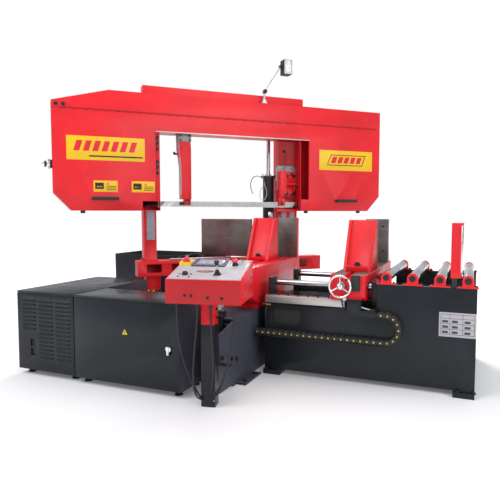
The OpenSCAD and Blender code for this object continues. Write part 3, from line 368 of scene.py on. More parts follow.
class Bench:
    """Blender's modelling operators, on one piece at a time."""

    @staticmethod
    def clear() -> None:
        """Leaves nothing selected."""
        bpy.ops.object.select_all(action="DESELECT")

    @staticmethod
    def hold(*pieces: bpy.types.Object) -> bpy.types.Object:
        """Selects just these pieces and makes the first of them active."""
        Bench.clear()
        for piece in pieces:
            piece.select_set(True)
        bpy.context.view_layer.objects.active = pieces[0]
        return pieces[0]

    @staticmethod
    def settle(piece: bpy.types.Object) -> bpy.types.Object:
        """Moves a piece's place into its mesh."""
        Bench.hold(piece)
        bpy.ops.object.transform_apply(location=True, rotation=True, scale=True)
        return piece

    @staticmethod
    def edit(piece: bpy.types.Object, *steps: Callable[[], object], only: Test | None = None) -> bpy.types.Object:
        """Runs edit-mode operators on a piece.

        Args:
            piece: The piece.
            steps: What is run, in order.
            only: Picks the faces to work on by centre and normal; all of them without it.

        Returns:
            The piece.
        """
        Bench.hold(piece)
        mesh = piece.data
        chosen = [only is None or bool(only(f.center, f.normal)) for f in mesh.polygons]
        mesh.vertices.foreach_set("select", [False] * len(mesh.vertices))
        mesh.edges.foreach_set("select", [False] * len(mesh.edges))
        mesh.polygons.foreach_set("select", chosen)
        bpy.ops.object.mode_set(mode="EDIT")
        bpy.ops.mesh.select_mode(type="FACE")
        if only is None:
            bpy.ops.mesh.select_all(action="SELECT")
        for step in steps:
            step()
        bpy.ops.object.mode_set(mode="OBJECT")
        return piece

    @staticmethod
    def modify(piece: bpy.types.Object, kind: str, **settings: object) -> bpy.types.Object:
        """Adds a modifier, sets it and applies it."""
        Bench.hold(piece)
        modifier = piece.modifiers.new(kind.title(), kind)
        for key, value in settings.items():
            setattr(modifier, key, value)
        bpy.ops.object.modifier_apply(modifier=modifier.name)
        return piece

    @staticmethod
    def bevel(piece: bpy.types.Object, width: float, segments: int = 2, angle: float = 40) -> bpy.types.Object:
        """Rounds every edge that is sharper than the angle."""
        if width <= 0:
            return piece
        return Bench.modify(piece, "BEVEL", width=width, segments=segments, limit_method="ANGLE",
                            angle_limit=math.radians(angle), use_clamp_overlap=True)

    @staticmethod
    def box(low: Triple, high: Triple, edge: float = 0.0, segments: int = 2) -> bpy.types.Object:
        """A block between two corners, with its edges rounded."""
        Bench.clear()
        low, high = Vector(low), Vector(high)
        bpy.ops.mesh.primitive_cube_add(size=1, location=(low + high) / 2)
        piece = bpy.context.object
        piece.scale = high - low
        return Bench.bevel(Bench.settle(piece), edge, segments)

    @staticmethod
    def rod(a: Triple, b: Triple, radius: float, sides: int = 24, edge: float = 0.0,
            end_radius: float | None = None) -> bpy.types.Object:
        """A round, hexagonal or tapered bar between two points."""
        Bench.clear()
        a, b = Vector(a), Vector(b)
        bpy.ops.mesh.primitive_cone_add(
            vertices=sides, radius1=radius, radius2=radius if end_radius is None else end_radius,
            depth=(b - a).length, location=(a + b) / 2,
            rotation=(b - a).to_track_quat("Z", "Y").to_euler(),
        )
        return Bench.bevel(Bench.settle(bpy.context.object), edge, 2, 50 if sides > 6 else 65)

    @staticmethod
    def plate(outline: Sequence[Pair], start: float, end: float, plane: Plane = Plane.XZ,
              edge: float = 0.0, segments: int = 2) -> bpy.types.Object:
        """A flat plate: an outline drawn in a plane and pushed from start to end along its normal."""
        Bench.clear()
        bpy.ops.mesh.primitive_circle_add(vertices=len(outline), fill_type="NGON")
        piece = bpy.context.object
        for vertex, (a, b) in zip(piece.data.vertices, outline):
            vertex.co = plane.point(a, b, start)
        push = plane.point(0, 0, end - start)
        Bench.edit(
            piece,
            lambda: bpy.ops.mesh.extrude_region_move(TRANSFORM_OT_translate={"value": push}),
            lambda: bpy.ops.mesh.select_all(action="SELECT"),
            lambda: bpy.ops.mesh.normals_make_consistent(inside=False),
        )
        return Bench.bevel(piece, edge, segments)

    @staticmethod
    def turned(profile: Sequence[Pair], at: Triple, along: Triple = UP, sides: int = 32) -> bpy.types.Object:
        """A turned piece.

        Args:
            profile: Radius and height of each corner, from the foot to the top.
            at: The foot's centre.
            along: The way that the height runs.
            sides: How many faces go round it.

        Returns:
            The piece.
        """
        Bench.clear()
        bpy.ops.mesh.primitive_circle_add(vertices=len(profile), fill_type="NOTHING")
        piece = bpy.context.object
        for vertex, (radius, height) in zip(piece.data.vertices, profile):
            vertex.co = (radius, 0, height)
        Bench.hold(piece)
        bpy.ops.object.mode_set(mode="EDIT")
        bpy.ops.mesh.select_mode(type="VERT")
        bpy.ops.mesh.select_all(action="SELECT")
        bpy.ops.mesh.spin(steps=sides, angle=math.tau, center=ORIGIN, axis=UP)
        bpy.ops.mesh.select_all(action="SELECT")
        bpy.ops.mesh.remove_doubles(threshold=1e-6)
        bpy.ops.mesh.normals_make_consistent(inside=False)
        bpy.ops.object.mode_set(mode="OBJECT")
        piece.rotation_euler = Vector(along).to_track_quat("Z", "Y").to_euler()
        piece.location = at
        return Bench.settle(piece)

    @staticmethod
    def join(pieces: Sequence[bpy.types.Object]) -> bpy.types.Object:
        """Several pieces as one."""
        pieces = list(pieces)
        if len(pieces) > 1:
            Bench.hold(*pieces)
            bpy.ops.object.join()
        return pieces[0]

    @staticmethod
    def copies(piece: bpy.types.Object, places: Iterable[Matrix | Triple]) -> bpy.types.Object:
        """The piece at each place, each copy with its own mesh, joined into one."""
        made = []
        for place in places:
            matrix = place if isinstance(place, Matrix) else Matrix.Translation(place)
            other = piece.copy()
            other.data = piece.data.copy()
            other.data.transform(matrix)
            bpy.context.scene.collection.objects.link(other)
            made.append(other)
        bpy.data.objects.remove(piece)
        return Bench.join(made)

    @staticmethod
    def tube(points: Sequence[Triple], radius: float, sides: int = 12) -> bpy.types.Object:
        """A bent tube along points, with smooth bends, as a mesh."""
        piece = Bench.line(points, radius, sides)
        Bench.hold(piece)
        bpy.ops.object.convert(target="MESH")
        return bpy.context.object

    @staticmethod
    def line(points: Sequence[Triple], radius: float, sides: int = 12) -> bpy.types.Object:
        """A round cord as a curve of one open spline through the points."""
        curve = bpy.data.curves.new("line", "CURVE")
        curve.dimensions = "3D"
        curve.bevel_depth = radius
        curve.bevel_resolution = max(1, sides // 4 - 1)
        curve.resolution_u = 6
        curve.use_fill_caps = True
        spline = curve.splines.new("BEZIER")
        spline.bezier_points.add(len(points) - 1)
        for knot, point in zip(spline.bezier_points, points):
            knot.co = point
            knot.handle_left_type = knot.handle_right_type = "AUTO"
        piece = bpy.data.objects.new("line", curve)
        bpy.context.scene.collection.objects.link(piece)
        return piece

    @staticmethod
    def dress(piece: bpy.types.Object, finish: Finish) -> bpy.types.Object:
        """Gives a whole piece one finish."""
        piece.data.materials.clear()
        piece.data.materials.append(finish.build())
        return piece

    @staticmethod
    def paint(piece: bpy.types.Object, finish: Finish, only: Test) -> bpy.types.Object:
        """Gives the faces that the test picks by centre and normal another finish."""
        piece.data.materials.append(finish.build())
        index = len(piece.data.materials) - 1
        for face in piece.data.polygons:
            if only(face.center, face.normal):
                face.material_index = index
        return piece


@dataclass
class Section:
    """One sub-assembly: the frame that it is drawn in and the body that it rides on."""

    body: str = "root"
    place: Matrix = field(default_factory=lambda: HERE.copy())

    def add(self, piece: bpy.types.Object, name: str, slot: str, body: str | None = None,
            place: Matrix | None = None, smooth: float = 35, stands_for: Sequence[str] = ()) -> bpy.types.Object:
        """Finishes a piece: puts it in the row frame, smooths it, names it and makes it ride.

        Args:
            piece: The piece, drawn in the section's frame and already dressed.
            name: Its name.
            slot: The record's material slot; not used.
            body: The CAD body it rides on, when that isn't the section's.
            place: Its frame, when that isn't the section's.
            smooth: The angle up to which its edges are smoothed.
            stands_for: The CAD nodes that it replaces.

        Returns:
            The piece.
        """
        piece.name = name
        piece.data.name = name
        if piece.type == "MESH":
            piece.data.transform(self.place if place is None else place)
            Bench.hold(piece)
            bpy.ops.object.shade_smooth_by_angle(angle=math.radians(smooth))
        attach(piece, body or self.body)
        if stands_for:
            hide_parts(*stands_for)
        LOG.info("%s rides on %s", name, body or self.body)
        return piece

    def put(self, made: bpy.types.Object | Sequence[bpy.types.Object], finish: Finish, name: str, slot: str,
            **settings: object) -> bpy.types.Object:
        """Joins what was made into one piece, dresses it and adds it.

        Args:
            made: A piece, or the parts of one.
            finish: Its finish.
            name: Its name.
            slot: The record's material slot.
            settings: What else add takes.

        Returns:
            The piece.
        """
        piece = made if isinstance(made, bpy.types.Object) else Bench.join(made)
        return self.add(Bench.dress(piece, finish), name, slot, **settings)

    def lead(self, name: str, route: Sequence[Triple], radius: float, finish: Finish, length: float = 0.0,
             far_end: str = "object", stiffness: str = "medium", stands_for: Sequence[str] = (),
             with_pieces: Sequence[bpy.types.Object] = (), body: str | None = None) -> bpy.types.Object:
        """A free lead or hose along a route drawn in the section's frame.

        Args:
            name: Its name.
            route: Its points, from its exit on.
            radius: Its radius.
            finish: Its finish.
            length: Its length; that of the route without it.
            far_end: What its far end is; not used.
            stiffness: How stiff it is; not used.
            stands_for: The CAD nodes that it replaces.
            with_pieces: The pieces at its far end; not used.
            body: The CAD body it rides on, when that isn't the section's.

        Returns:
            The piece.
        """
        points = [tuple(self.place @ Vector(point)) for point in route]
        piece = Bench.dress(Bench.line(points, radius, 16), finish)
        self.add(piece, name, "cable_rubber", body=body, stands_for=stands_for)
        length = length or sum(math.dist(a, b) for a, b in zip(points, points[1:]))
        return piece

    def skin(self, node: str, finish: Finish, slot: str, edge: float = 0.002, segments: int = 2,
             areas: Sequence[tuple[Finish, Test]] = (), smooth: float = 35) -> bpy.types.Object:
        """A copy of a CAD node with its flat faces joined and its edges rounded, in its place.

        Args:
            node: The CAD node.
            finish: Its finish.
            slot: The record's material slot.
            edge: The radius of its edges.
            segments: How many faces round an edge.
            areas: Other finishes, each with a test of a face's centre and normal in the section's frame.
            smooth: The angle up to which its edges are smoothed.

        Returns:
            The piece.
        """
        source = frame["nodes"][node]
        piece = bpy.data.objects.new(node, source.data.copy())
        bpy.context.scene.collection.objects.link(piece)
        piece.data.transform(self.place.inverted())
        piece.data.materials.clear()
        Bench.edit(
            piece,
            lambda: bpy.ops.mesh.remove_doubles(threshold=2e-5),
            lambda: bpy.ops.mesh.dissolve_limited(angle_limit=math.radians(0.6)),
        )
        Bench.bevel(piece, edge, segments, 32)
        Bench.dress(piece, finish)
        for other, test in areas:
            Bench.paint(piece, other, test)
        return self.add(piece, f"{node}_finished", slot, body=source["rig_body"], smooth=smooth, stands_for=[node])

    def bolts(self, name: str, places: Sequence[Triple], along: Triple, size: float = 0.012,
              finish: Finish = BLACK_STEEL, body: str | None = None, slot: str = "black_steel") -> bpy.types.Object:
        """Socket-head screws on washers.

        Args:
            name: The name of the set.
            places: Where each one meets the surface.
            along: The way that the heads point.
            size: The radius of a head.
            finish: Their finish.
            body: The CAD body they ride on, when that isn't the section's.
            slot: The record's material slot.

        Returns:
            The screws as one piece.
        """
        rim, socket = size * 0.12, size * 0.55
        head = Bench.turned(
            [(0, -size * 0.3), (size * 1.3, -size * 0.3), (size * 1.3, size * 0.2), (size, size * 0.22),
             (size, size - rim), (size - rim, size), (socket, size), (socket * 0.9, size * 0.45), (0, size * 0.45)],
            ORIGIN, along, 12,
        )
        Bench.dress(head, finish)
        return self.add(Bench.copies(head, places), name, slot, body=body)


def frames(*corners: Pair) -> list[Pair]:
    """The four corners of an upright rectangle, given two that face each other."""
    (a, b), (c, d) = corners
    return [(a, b), (c, b), (c, d), (a, d)]


def circle(x: float, y: float, radius: float, sides: int = 24, start: float = 0.0,
           sweep: float = math.tau) -> list[Pair]:
    """Points round a circle or along an arc."""
    steps = sides if sweep < math.tau else sides - 1
    return [
        (x + radius * math.cos(start + sweep * k / sides), y + radius * math.sin(start + sweep * k / sides))
        for k in range(steps + 1)
    ]


# ---- camera and light ----


@dataclass
class Studio:
    """The camera, the floor and soft light."""

    eye: Triple = (2.080, -5.150, 1.350)
    azimuth: float = 23.0
    pitch: float = -4.07
    lens: float = 37.44
    floor_radius: float = 60.0

    def build(self) -> None:
        """Makes everything that isn't part of the saw."""
        camera = bpy.data.objects.new("camera", bpy.data.cameras.new("camera"))
        bpy.context.scene.collection.objects.link(camera)
        camera.data.lens = self.lens
        camera.data.sensor_width = 36
        camera.data.clip_end = 500
        camera.location = self.eye
        camera.rotation_euler = (math.radians(90 + self.pitch), 0, math.radians(self.azimuth))
        bpy.context.scene.camera = camera
        bpy.context.scene.view_settings.view_transform = "Standard"

        Bench.clear()
        bpy.ops.mesh.primitive_circle_add(vertices=96, radius=self.floor_radius, fill_type="NGON")
        floor = bpy.context.object
        floor.name = "studio_floor"
        Bench.dress(floor, PALE_FLOOR)
        self.sky()
        self.lamp("key_light", (-3.5, -6.0, 6.5), 5.0, 330, (0, 0, 1.0))
        self.lamp("fill_light", (6.5, -4.0, 4.0), 5.0, 170, (0.5, 0, 1.0))
        self.lamp("top_light", (0.5, 0.5, 7.5), 6.0, 200, (0.2, -0.4, 1.0))
        self.lamp("back_light", (-1.2, 5.5, 6.0), 2.5, 420, (0.2, -0.4, 0.4))

    def sky(self) -> None:
        """A white surround, brighter to the camera than as a light."""
        world = bpy.data.worlds.new("studio")
        world.use_nodes = True
        bpy.context.scene.world = world
        nodes, links = world.node_tree.nodes, world.node_tree.links
        nodes.clear()
        lit = nodes.new("ShaderNodeBackground")
        lit.inputs["Color"].default_value = (0.93, 0.95, 1.0, 1)
        lit.inputs["Strength"].default_value = 0.62
        seen = nodes.new("ShaderNodeBackground")
        seen.inputs["Color"].default_value = (1, 1, 1, 1)
        seen.inputs["Strength"].default_value = 1.0
        path = nodes.new("ShaderNodeLightPath")
        mix = nodes.new("ShaderNodeMixShader")
        out = nodes.new("ShaderNodeOutputWorld")
        links.new(path.outputs["Is Camera Ray"], mix.inputs[0])
        links.new(lit.outputs[0], mix.inputs[1])
        links.new(seen.outputs[0], mix.inputs[2])
        links.new(mix.outputs[0], out.inputs[0])

    def lamp(self, name: str, at: Triple, size: float, power: float, aim: Triple) -> None:
        """A square soft box that looks at a point."""
        data = bpy.data.lights.new(name, "AREA")
        data.size, data.energy = size, power
        lamp = bpy.data.objects.new(name, data)
        lamp.location = at
        lamp.rotation_euler = (Vector(aim) - Vector(at)).to_track_quat("-Z", "Y").to_euler()
        bpy.context.scene.collection.objects.link(lamp)


# ---- console and its cables ----

MM = 0.001
ROUTES = (
    ("cable_1", 0.731, ((-214, 100, 744), (-214, 100, 698), (-213, 101, 653), (-212, 101, 607), (-210, 102, 561),
     (-207, 103, 516), (-201, 104, 470), (-194, 106, 425), (-186, 108, 380), (-175, 112, 336), (-162, 115, 292),
     (-148, 120, 249), (-132, 125, 206), (-116, 131, 164), (-97, 138, 123), (-76, 145, 83), (-50, 150, 46))),
    ("cable_2", 0.725, ((-64, 90, 744), (-64, 90, 699), (-66, 90, 653), (-68, 90, 608), (-71, 90, 563),
     (-75, 90, 518), (-80, 90, 473), (-84, 89, 428), (-88, 89, 382), (-91, 88, 337), (-94, 87, 292),
     (-95, 87, 247), (-94, 86, 201), (-91, 86, 156), (-83, 88, 112), (-64, 99, 73), (-36, 124, 48))),
    ("cable_3", 0.670, ((27, 95, 744), (27, 95, 702), (28, 95, 660), (30, 94, 618), (33, 93, 577), (35, 93, 535),
     (38, 92, 493), (41, 92, 451), (43, 92, 409), (45, 92, 368), (46, 92, 326), (46, 92, 284), (44, 92, 242),
     (41, 92, 200), (34, 94, 159), (23, 103, 120), (10, 124, 86))),
    ("cable_4", 0.690, ((194, 110, 744), (194, 110, 701), (192, 110, 658), (189, 111, 615), (186, 112, 572),
     (181, 114, 529), (175, 115, 486), (168, 117, 444), (160, 120, 401), (151, 122, 359), (142, 125, 317),
     (131, 128, 276), (119, 132, 234), (106, 135, 193), (91, 140, 153), (74, 144, 114), (50, 148, 78))),
)


@dataclass
class Cables(Section):
    """The four leads from the console's floor to the box at its foot."""

    place: Matrix = field(default_factory=lambda: CONSOLE.copy())
    diameter: float = 0.014
    ground: float = 0.907

    def build(self) -> None:
        """Makes the leads and the glands that they leave through."""
        for node, length, route in ROUTES:
            points = [(u * MM, v * MM, z * MM - self.ground) for u, v, z in route]
            self.lead(node + "_lead", points, self.diameter / 2, RUBBER, length, stands_for=[node])
            u, v, z = (x * MM for x in route[0])
            gland = Bench.turned(
                [(0.0075, 0.004), (0.017, 0.004), (0.017, -0.006), (0.0145, -0.008), (0.0145, -0.018),
                 (0.012, -0.024), (0.0085, -0.044), (0.0075, -0.044)],
                (u, v, z - self.ground), UP, 20,
            )
            self.put(gland, BLACK, node + "_gland", "black_plastic")


@dataclass
class Console(Section):
    """The sloping control desk on its post."""

    place: Matrix = field(default_factory=lambda: CONSOLE.copy())
    width: float = 0.520
    depth: float = 0.425
    low: float = 0.744 - 0.907
    screen: Pair = (-0.035, 0.352)

    def build(self) -> None:
        """Makes the desk, the panel and every control."""
        self.desk()
        self.post()
        self.panel = Section(place=PANEL.copy())
        self.plates()
        self.touch_screen()
        self.main_switch()
        self.stop_mushroom()
        self.buttons()
        self.selector()
        self.lever()

    def desk(self) -> None:
        """The sheet-metal desk, with its screws."""
        # The desk's front faces take the deeper red: painted shade of the same red enamel.
        self.skin("console_head", RED, "red_paint", 0.004, 3, areas=[
            (DEEP_RED_AND_SHADE, lambda c, n: n.y < -0.9 and c.y < 0.005)])
        self.bolts("desk_front_screws", [(-0.124, 0, -0.105), (-0.080, 0, -0.106), (0.034, 0, -0.117),
                                         (0.131, 0, -0.119)], FRONT, 0.0085, BLACK, slot="black_plastic")
        side = self.width / 2
        self.bolts("desk_side_screws", [(side, 0.06, -0.1), (side, 0.36, -0.08), (side, 0.36, -0.02)], RIGHT,
                   0.005)
        door = Bench.box((-side + 0.05, self.depth - 0.001, self.low + 0.03),
                         (side - 0.05, self.depth + 0.003, 0.06), 0.002)
        Bench.edit(door, lambda: bpy.ops.mesh.inset(thickness=0.012, depth=0),
                   lambda: bpy.ops.mesh.inset(thickness=0.002, depth=0.0015), only=lambda c, n: n.y > 0.9)
        self.put(door, RED, "desk_back_door", "red_paint")
        knobs = Bench.copies(Bench.turned([(0, 0), (0.009, 0), (0.009, 0.003), (0.005, 0.004), (0.005, 0.002),
                                           (0, 0.002)],
                                          ORIGIN, BACK, 16),
                                          [(x, self.depth + 0.003, -0.05) for x in (-0.19, 0.19)])
        self.put(knobs, ZINC, "desk_door_locks", "chrome")

    def post(self) -> None:
        """The square post, its sleeve and the cable box at its foot."""
        self.skin("console_post", SLATE, "side_paint", 0.004, 3, areas=[
            (RED, lambda c, n: c.z > self.low - 0.1645 and c.z < self.low - 0.0005),
            (BLACK, lambda c, n: c.z < -0.8035)])
        collar = Bench.box((-0.052, 0.122, self.low - 0.018), (0.052, 0.226, self.low - 0.001), 0.003)
        self.put(collar, RED, "post_collar", "red_paint")
        self.bolts("post_clamp_screws", [(0.048, 0.174, self.low - h) for h in (0.06, 0.12)], RIGHT, 0.009)
        lid = Bench.box((-0.053, 0.121, -0.810), (0.053, 0.227, -0.800), 0.003)
        self.put(lid, BLACK, "cable_box_lid", "black_plastic")
        self.bolts("cable_box_screws", [(x, 0.124, -0.86) for x in (-0.042, 0.042)], FRONT, 0.004, ZINC,
                   slot="chrome")

    def plates(self) -> None:
        """The light panel, with its screws, its oval badge and the marks round the selector."""
        u, v = self.screen
        self.panel.skin("console_panel", PALE_GREY, "panel_grey", 0.0012, 2, areas=[
            (YELLOW_PLASTIC, lambda c, n: c.z > 0.0008 and c.x < -0.165),
            (BEZEL, lambda c, n: c.z > 0.0008 and c.x > -0.165)])
        side = self.width / 2 - 0.02
        self.panel.bolts("panel_screws", [(x, y, 0) for x in (-side, side) for y in (0.02, 0.21, 0.41)], UP,
                         0.0035,
                         ZINC, slot="chrome")
        badge = Bench.plate(circle(-0.025, 0.167, 1, 48), 0, 0.0016, Plane.XY)
        for vertex in badge.data.vertices:
            vertex.co.x = -0.025 + (vertex.co.x + 0.025) * 0.0625
            vertex.co.y = 0.167 + (vertex.co.y - 0.167) * 0.0235
        Bench.edit(badge, lambda: bpy.ops.mesh.inset(thickness=0.004, depth=0),
                   lambda: bpy.ops.mesh.inset(thickness=0.001, depth=0.0012), only=lambda c, n: n.z > 0.9)
        Bench.dress(badge, DEEP_RED_AND_SHADE)
        Bench.paint(badge, ZINC, lambda c, n: c.z > 0.0022)
        self.panel.add(badge, "oval_badge", "chrome")
        marks = Bench.turned([(0, 0), (0.0075, 0), (0.0075, 0.002), (0.0055, 0.004), (0, 0.004)], ORIGIN,
                             UP, 20)
        marks = Bench.copies(marks, [(-0.190, 0.100, 0), (-0.109, 0.103, 0), (-0.188, 0.054, 0), (-0.107, 0.045, 0)])
        self.panel.put(marks, BLACK, "selector_lamps", "black_plastic")

    def touch_screen(self) -> None:
        """The glass of the touch screen, with plain bars and keys on it."""
        u, v = self.screen
        glass = Bench.box((u - 0.099, v - 0.061, 0.0062), (u + 0.099, v + 0.061, 0.0074), 0.0004)
        self.panel.put(glass, SCREEN, "screen_glass", "panel_grey")
        bar = Bench.box((u - 0.094, v + 0.040, 0.0073), (u + 0.094, v + 0.056, 0.0078), 0.0003)
        fields = Bench.box((-0.027, -0.014, 0), (0.027, 0.014, 0.0005), 0.0002)
        fields = Bench.copies(fields, [(u + x, v + y, 0.0073) for x in (-0.062, 0.0, 0.062) for y in (0.016, -0.018)])
        piece = Bench.join([Bench.dress(bar, SCREEN_BAR), Bench.dress(fields, SCREEN_BAR)])
        self.panel.add(piece, "screen_fields", "panel_grey")
        keys = Bench.box((-0.014, -0.006, 0), (0.014, 0.006, 0.0006), 0.0002)
        keys = Bench.copies(keys, [(u + x, v - 0.048, 0.0073) for x in (-0.078, -0.039, 0, 0.039, 0.078)])
        self.panel.put(keys, SCREEN_KEY, "screen_keys", "panel_grey")

    def main_switch(self) -> None:
        """The red rotary switch."""
        x, y = -0.210, 0.330
        disc = Bench.turned([(0.006, -0.0045), (0.006, 0.018), (0.030, 0.018), (0.030, 0.029), (0.027, 0.032),
                             (0, 0.032),
                             (0, -0.0045)], (x, y, 0), UP, 40)
        grip = Bench.plate([(-0.008, -0.034), (0.008, -0.034), (0.012, -0.02), (0.010, 0.022), (0.006, 0.034),
                            (-0.006, 0.034), (-0.010, 0.022), (-0.012, -0.02)], 0.030, 0.051, Plane.XY, 0.003, 3)
        grip.data.transform(Matrix.Translation((x, y, 0)))
        knob = Bench.join([Bench.dress(disc, RED_PLASTIC), Bench.dress(grip, RED_PLASTIC)])
        self.panel.add(knob, "main_switch_knob", "red_plastic", body="isolator", stands_for=["isolator"])
        hasp = Bench.turned([(0.004, 0), (0.009, 0), (0.009, 0.002), (0.004, 0.002)], (x + 0.031, y - 0.030, 0.019),
                            UP, 16)
        self.panel.put(hasp, SIGN_RED, "padlock_hole", "red_paint")

    def stop_mushroom(self) -> None:
        """The mushroom-headed stop and its black collar."""
        at = (0.155, 0.315, 0)
        head = Bench.turned([(0, 0.022), (0.016, 0.022), (0.019, 0.026), (0.023, 0.028), (0.0235, 0.034),
                             (0.021, 0.039),
                             (0.014, 0.0435), (0.005, 0.0445), (0, 0.0445)], at, UP, 40)
        stem = Bench.turned([(0, -0.0045), (0.0078, -0.0045), (0.0078, 0.012), (0.0150, 0.012), (0.0150, 0.0235),
                             (0, 0.0235)],
                            at, UP, 28)
        mushroom = Bench.join([Bench.dress(head, RED_PLASTIC), Bench.dress(stem, BLACK)])
        self.panel.add(mushroom, "stop_mushroom", "red_plastic", body="emergency_stop", stands_for=["emergency_stop"])
        ring = Bench.turned([(0.0165, 0), (0.0225, 0), (0.0225, 0.007), (0.0205, 0.0095), (0.0165, 0.0095)], at,
                            UP, 36)
        self.panel.put(ring, BLACK, "stop_collar", "black_plastic")

    def buttons(self) -> None:
        """The green and black push buttons in their bezels."""
        for node, at, finish, slot in (("start_button", (0.190, 0.385, 0), GREEN_PLASTIC, "green_plastic"),
                                       ("stop_button", (0.120, 0.400, 0), BLACK, "black_plastic")):
            cap = Bench.turned([(0, -0.0045), (0.0078, -0.0045), (0.0078, 0.008), (0.0125, 0.008), (0.0125, 0.0145),
                                (0.0105, 0.0162), (0.004, 0.0155), (0, 0.0152)], at, UP, 28)
            self.panel.put(cap, finish, node + "_cap", slot, body=node, stands_for=[node])
            ring = Bench.turned([(0.0132, 0), (0.0175, 0), (0.0172, 0.006), (0.0155, 0.008), (0.0132, 0.008)], at,
                                UP, 28)
            self.panel.put(ring, CHROME, node + "_bezel", "chrome")

    def selector(self) -> None:
        """The black selector knob with its pointer."""
        at = (-0.150, 0.098, 0)
        knob = Bench.turned([(0, -0.0045), (0.0078, -0.0045), (0.0078, 0.001), (0.021, 0.001), (0.0205, 0.012),
                             (0.0165, 0.020), (0.010, 0.0225), (0, 0.0228)], at, UP, 18)
        pointer = Bench.box((at[0] - 0.0015, at[1] + 0.006, 0.019), (at[0] + 0.0015, at[1] + 0.0205, 0.0235), 0.0005)
        piece = Bench.join([Bench.dress(knob, BLACK), Bench.dress(pointer, PANEL_WHITE)])
        self.panel.add(piece, "selector_knob", "black_plastic", body="mode_knob", stands_for=["mode_knob"])

    def lever(self) -> None:
        """The lever with its rubber bellows, its grip and a red top."""
        x, y = 0.075, 0.110
        folds = [(0.022, 0.0005), (0.022, 0.006), (0.017, 0.010), (0.0195, 0.014), (0.0145, 0.018), (0.0165, 0.022),
                 (0.012, 0.026), (0.0135, 0.030), (0.007, 0.036), (0, 0.036), (0, 0.0005)]
        bellows = Bench.dress(Bench.turned(folds, (x, y, 0), UP, 28), RUBBER)
        stem = Bench.dress(Bench.rod((x, y, -0.0045), (x, y, 0.072), 0.0048, 16), ZINC)
        grip = Bench.dress(Bench.turned([(0, 0.066), (0.010, 0.066), (0.013, 0.074), (0.0165, 0.086), (0.0175, 0.093),
                                         (0.015, 0.098), (0, 0.098)], (x, y, 0), UP, 24), BLACK)
        top = Bench.dress(Bench.turned([(0, 0.097), (0.0065, 0.097), (0.0062, 0.1005), (0.004, 0.1022), (0, 0.1025)],
                                       (x, y, 0), UP, 20), RED_PLASTIC)
        self.panel.add(Bench.join([grip, stem, bellows, top]), "lever", "black_plastic", body="joystick",
                       stands_for=["joystick"])
        base = Bench.box((x - 0.026, y - 0.026, 0), (x + 0.026, y + 0.026, 0.0012), 0.0005)
        self.panel.put(base, BLACK, "lever_plate", "black_plastic")


# ---- saw bow ----


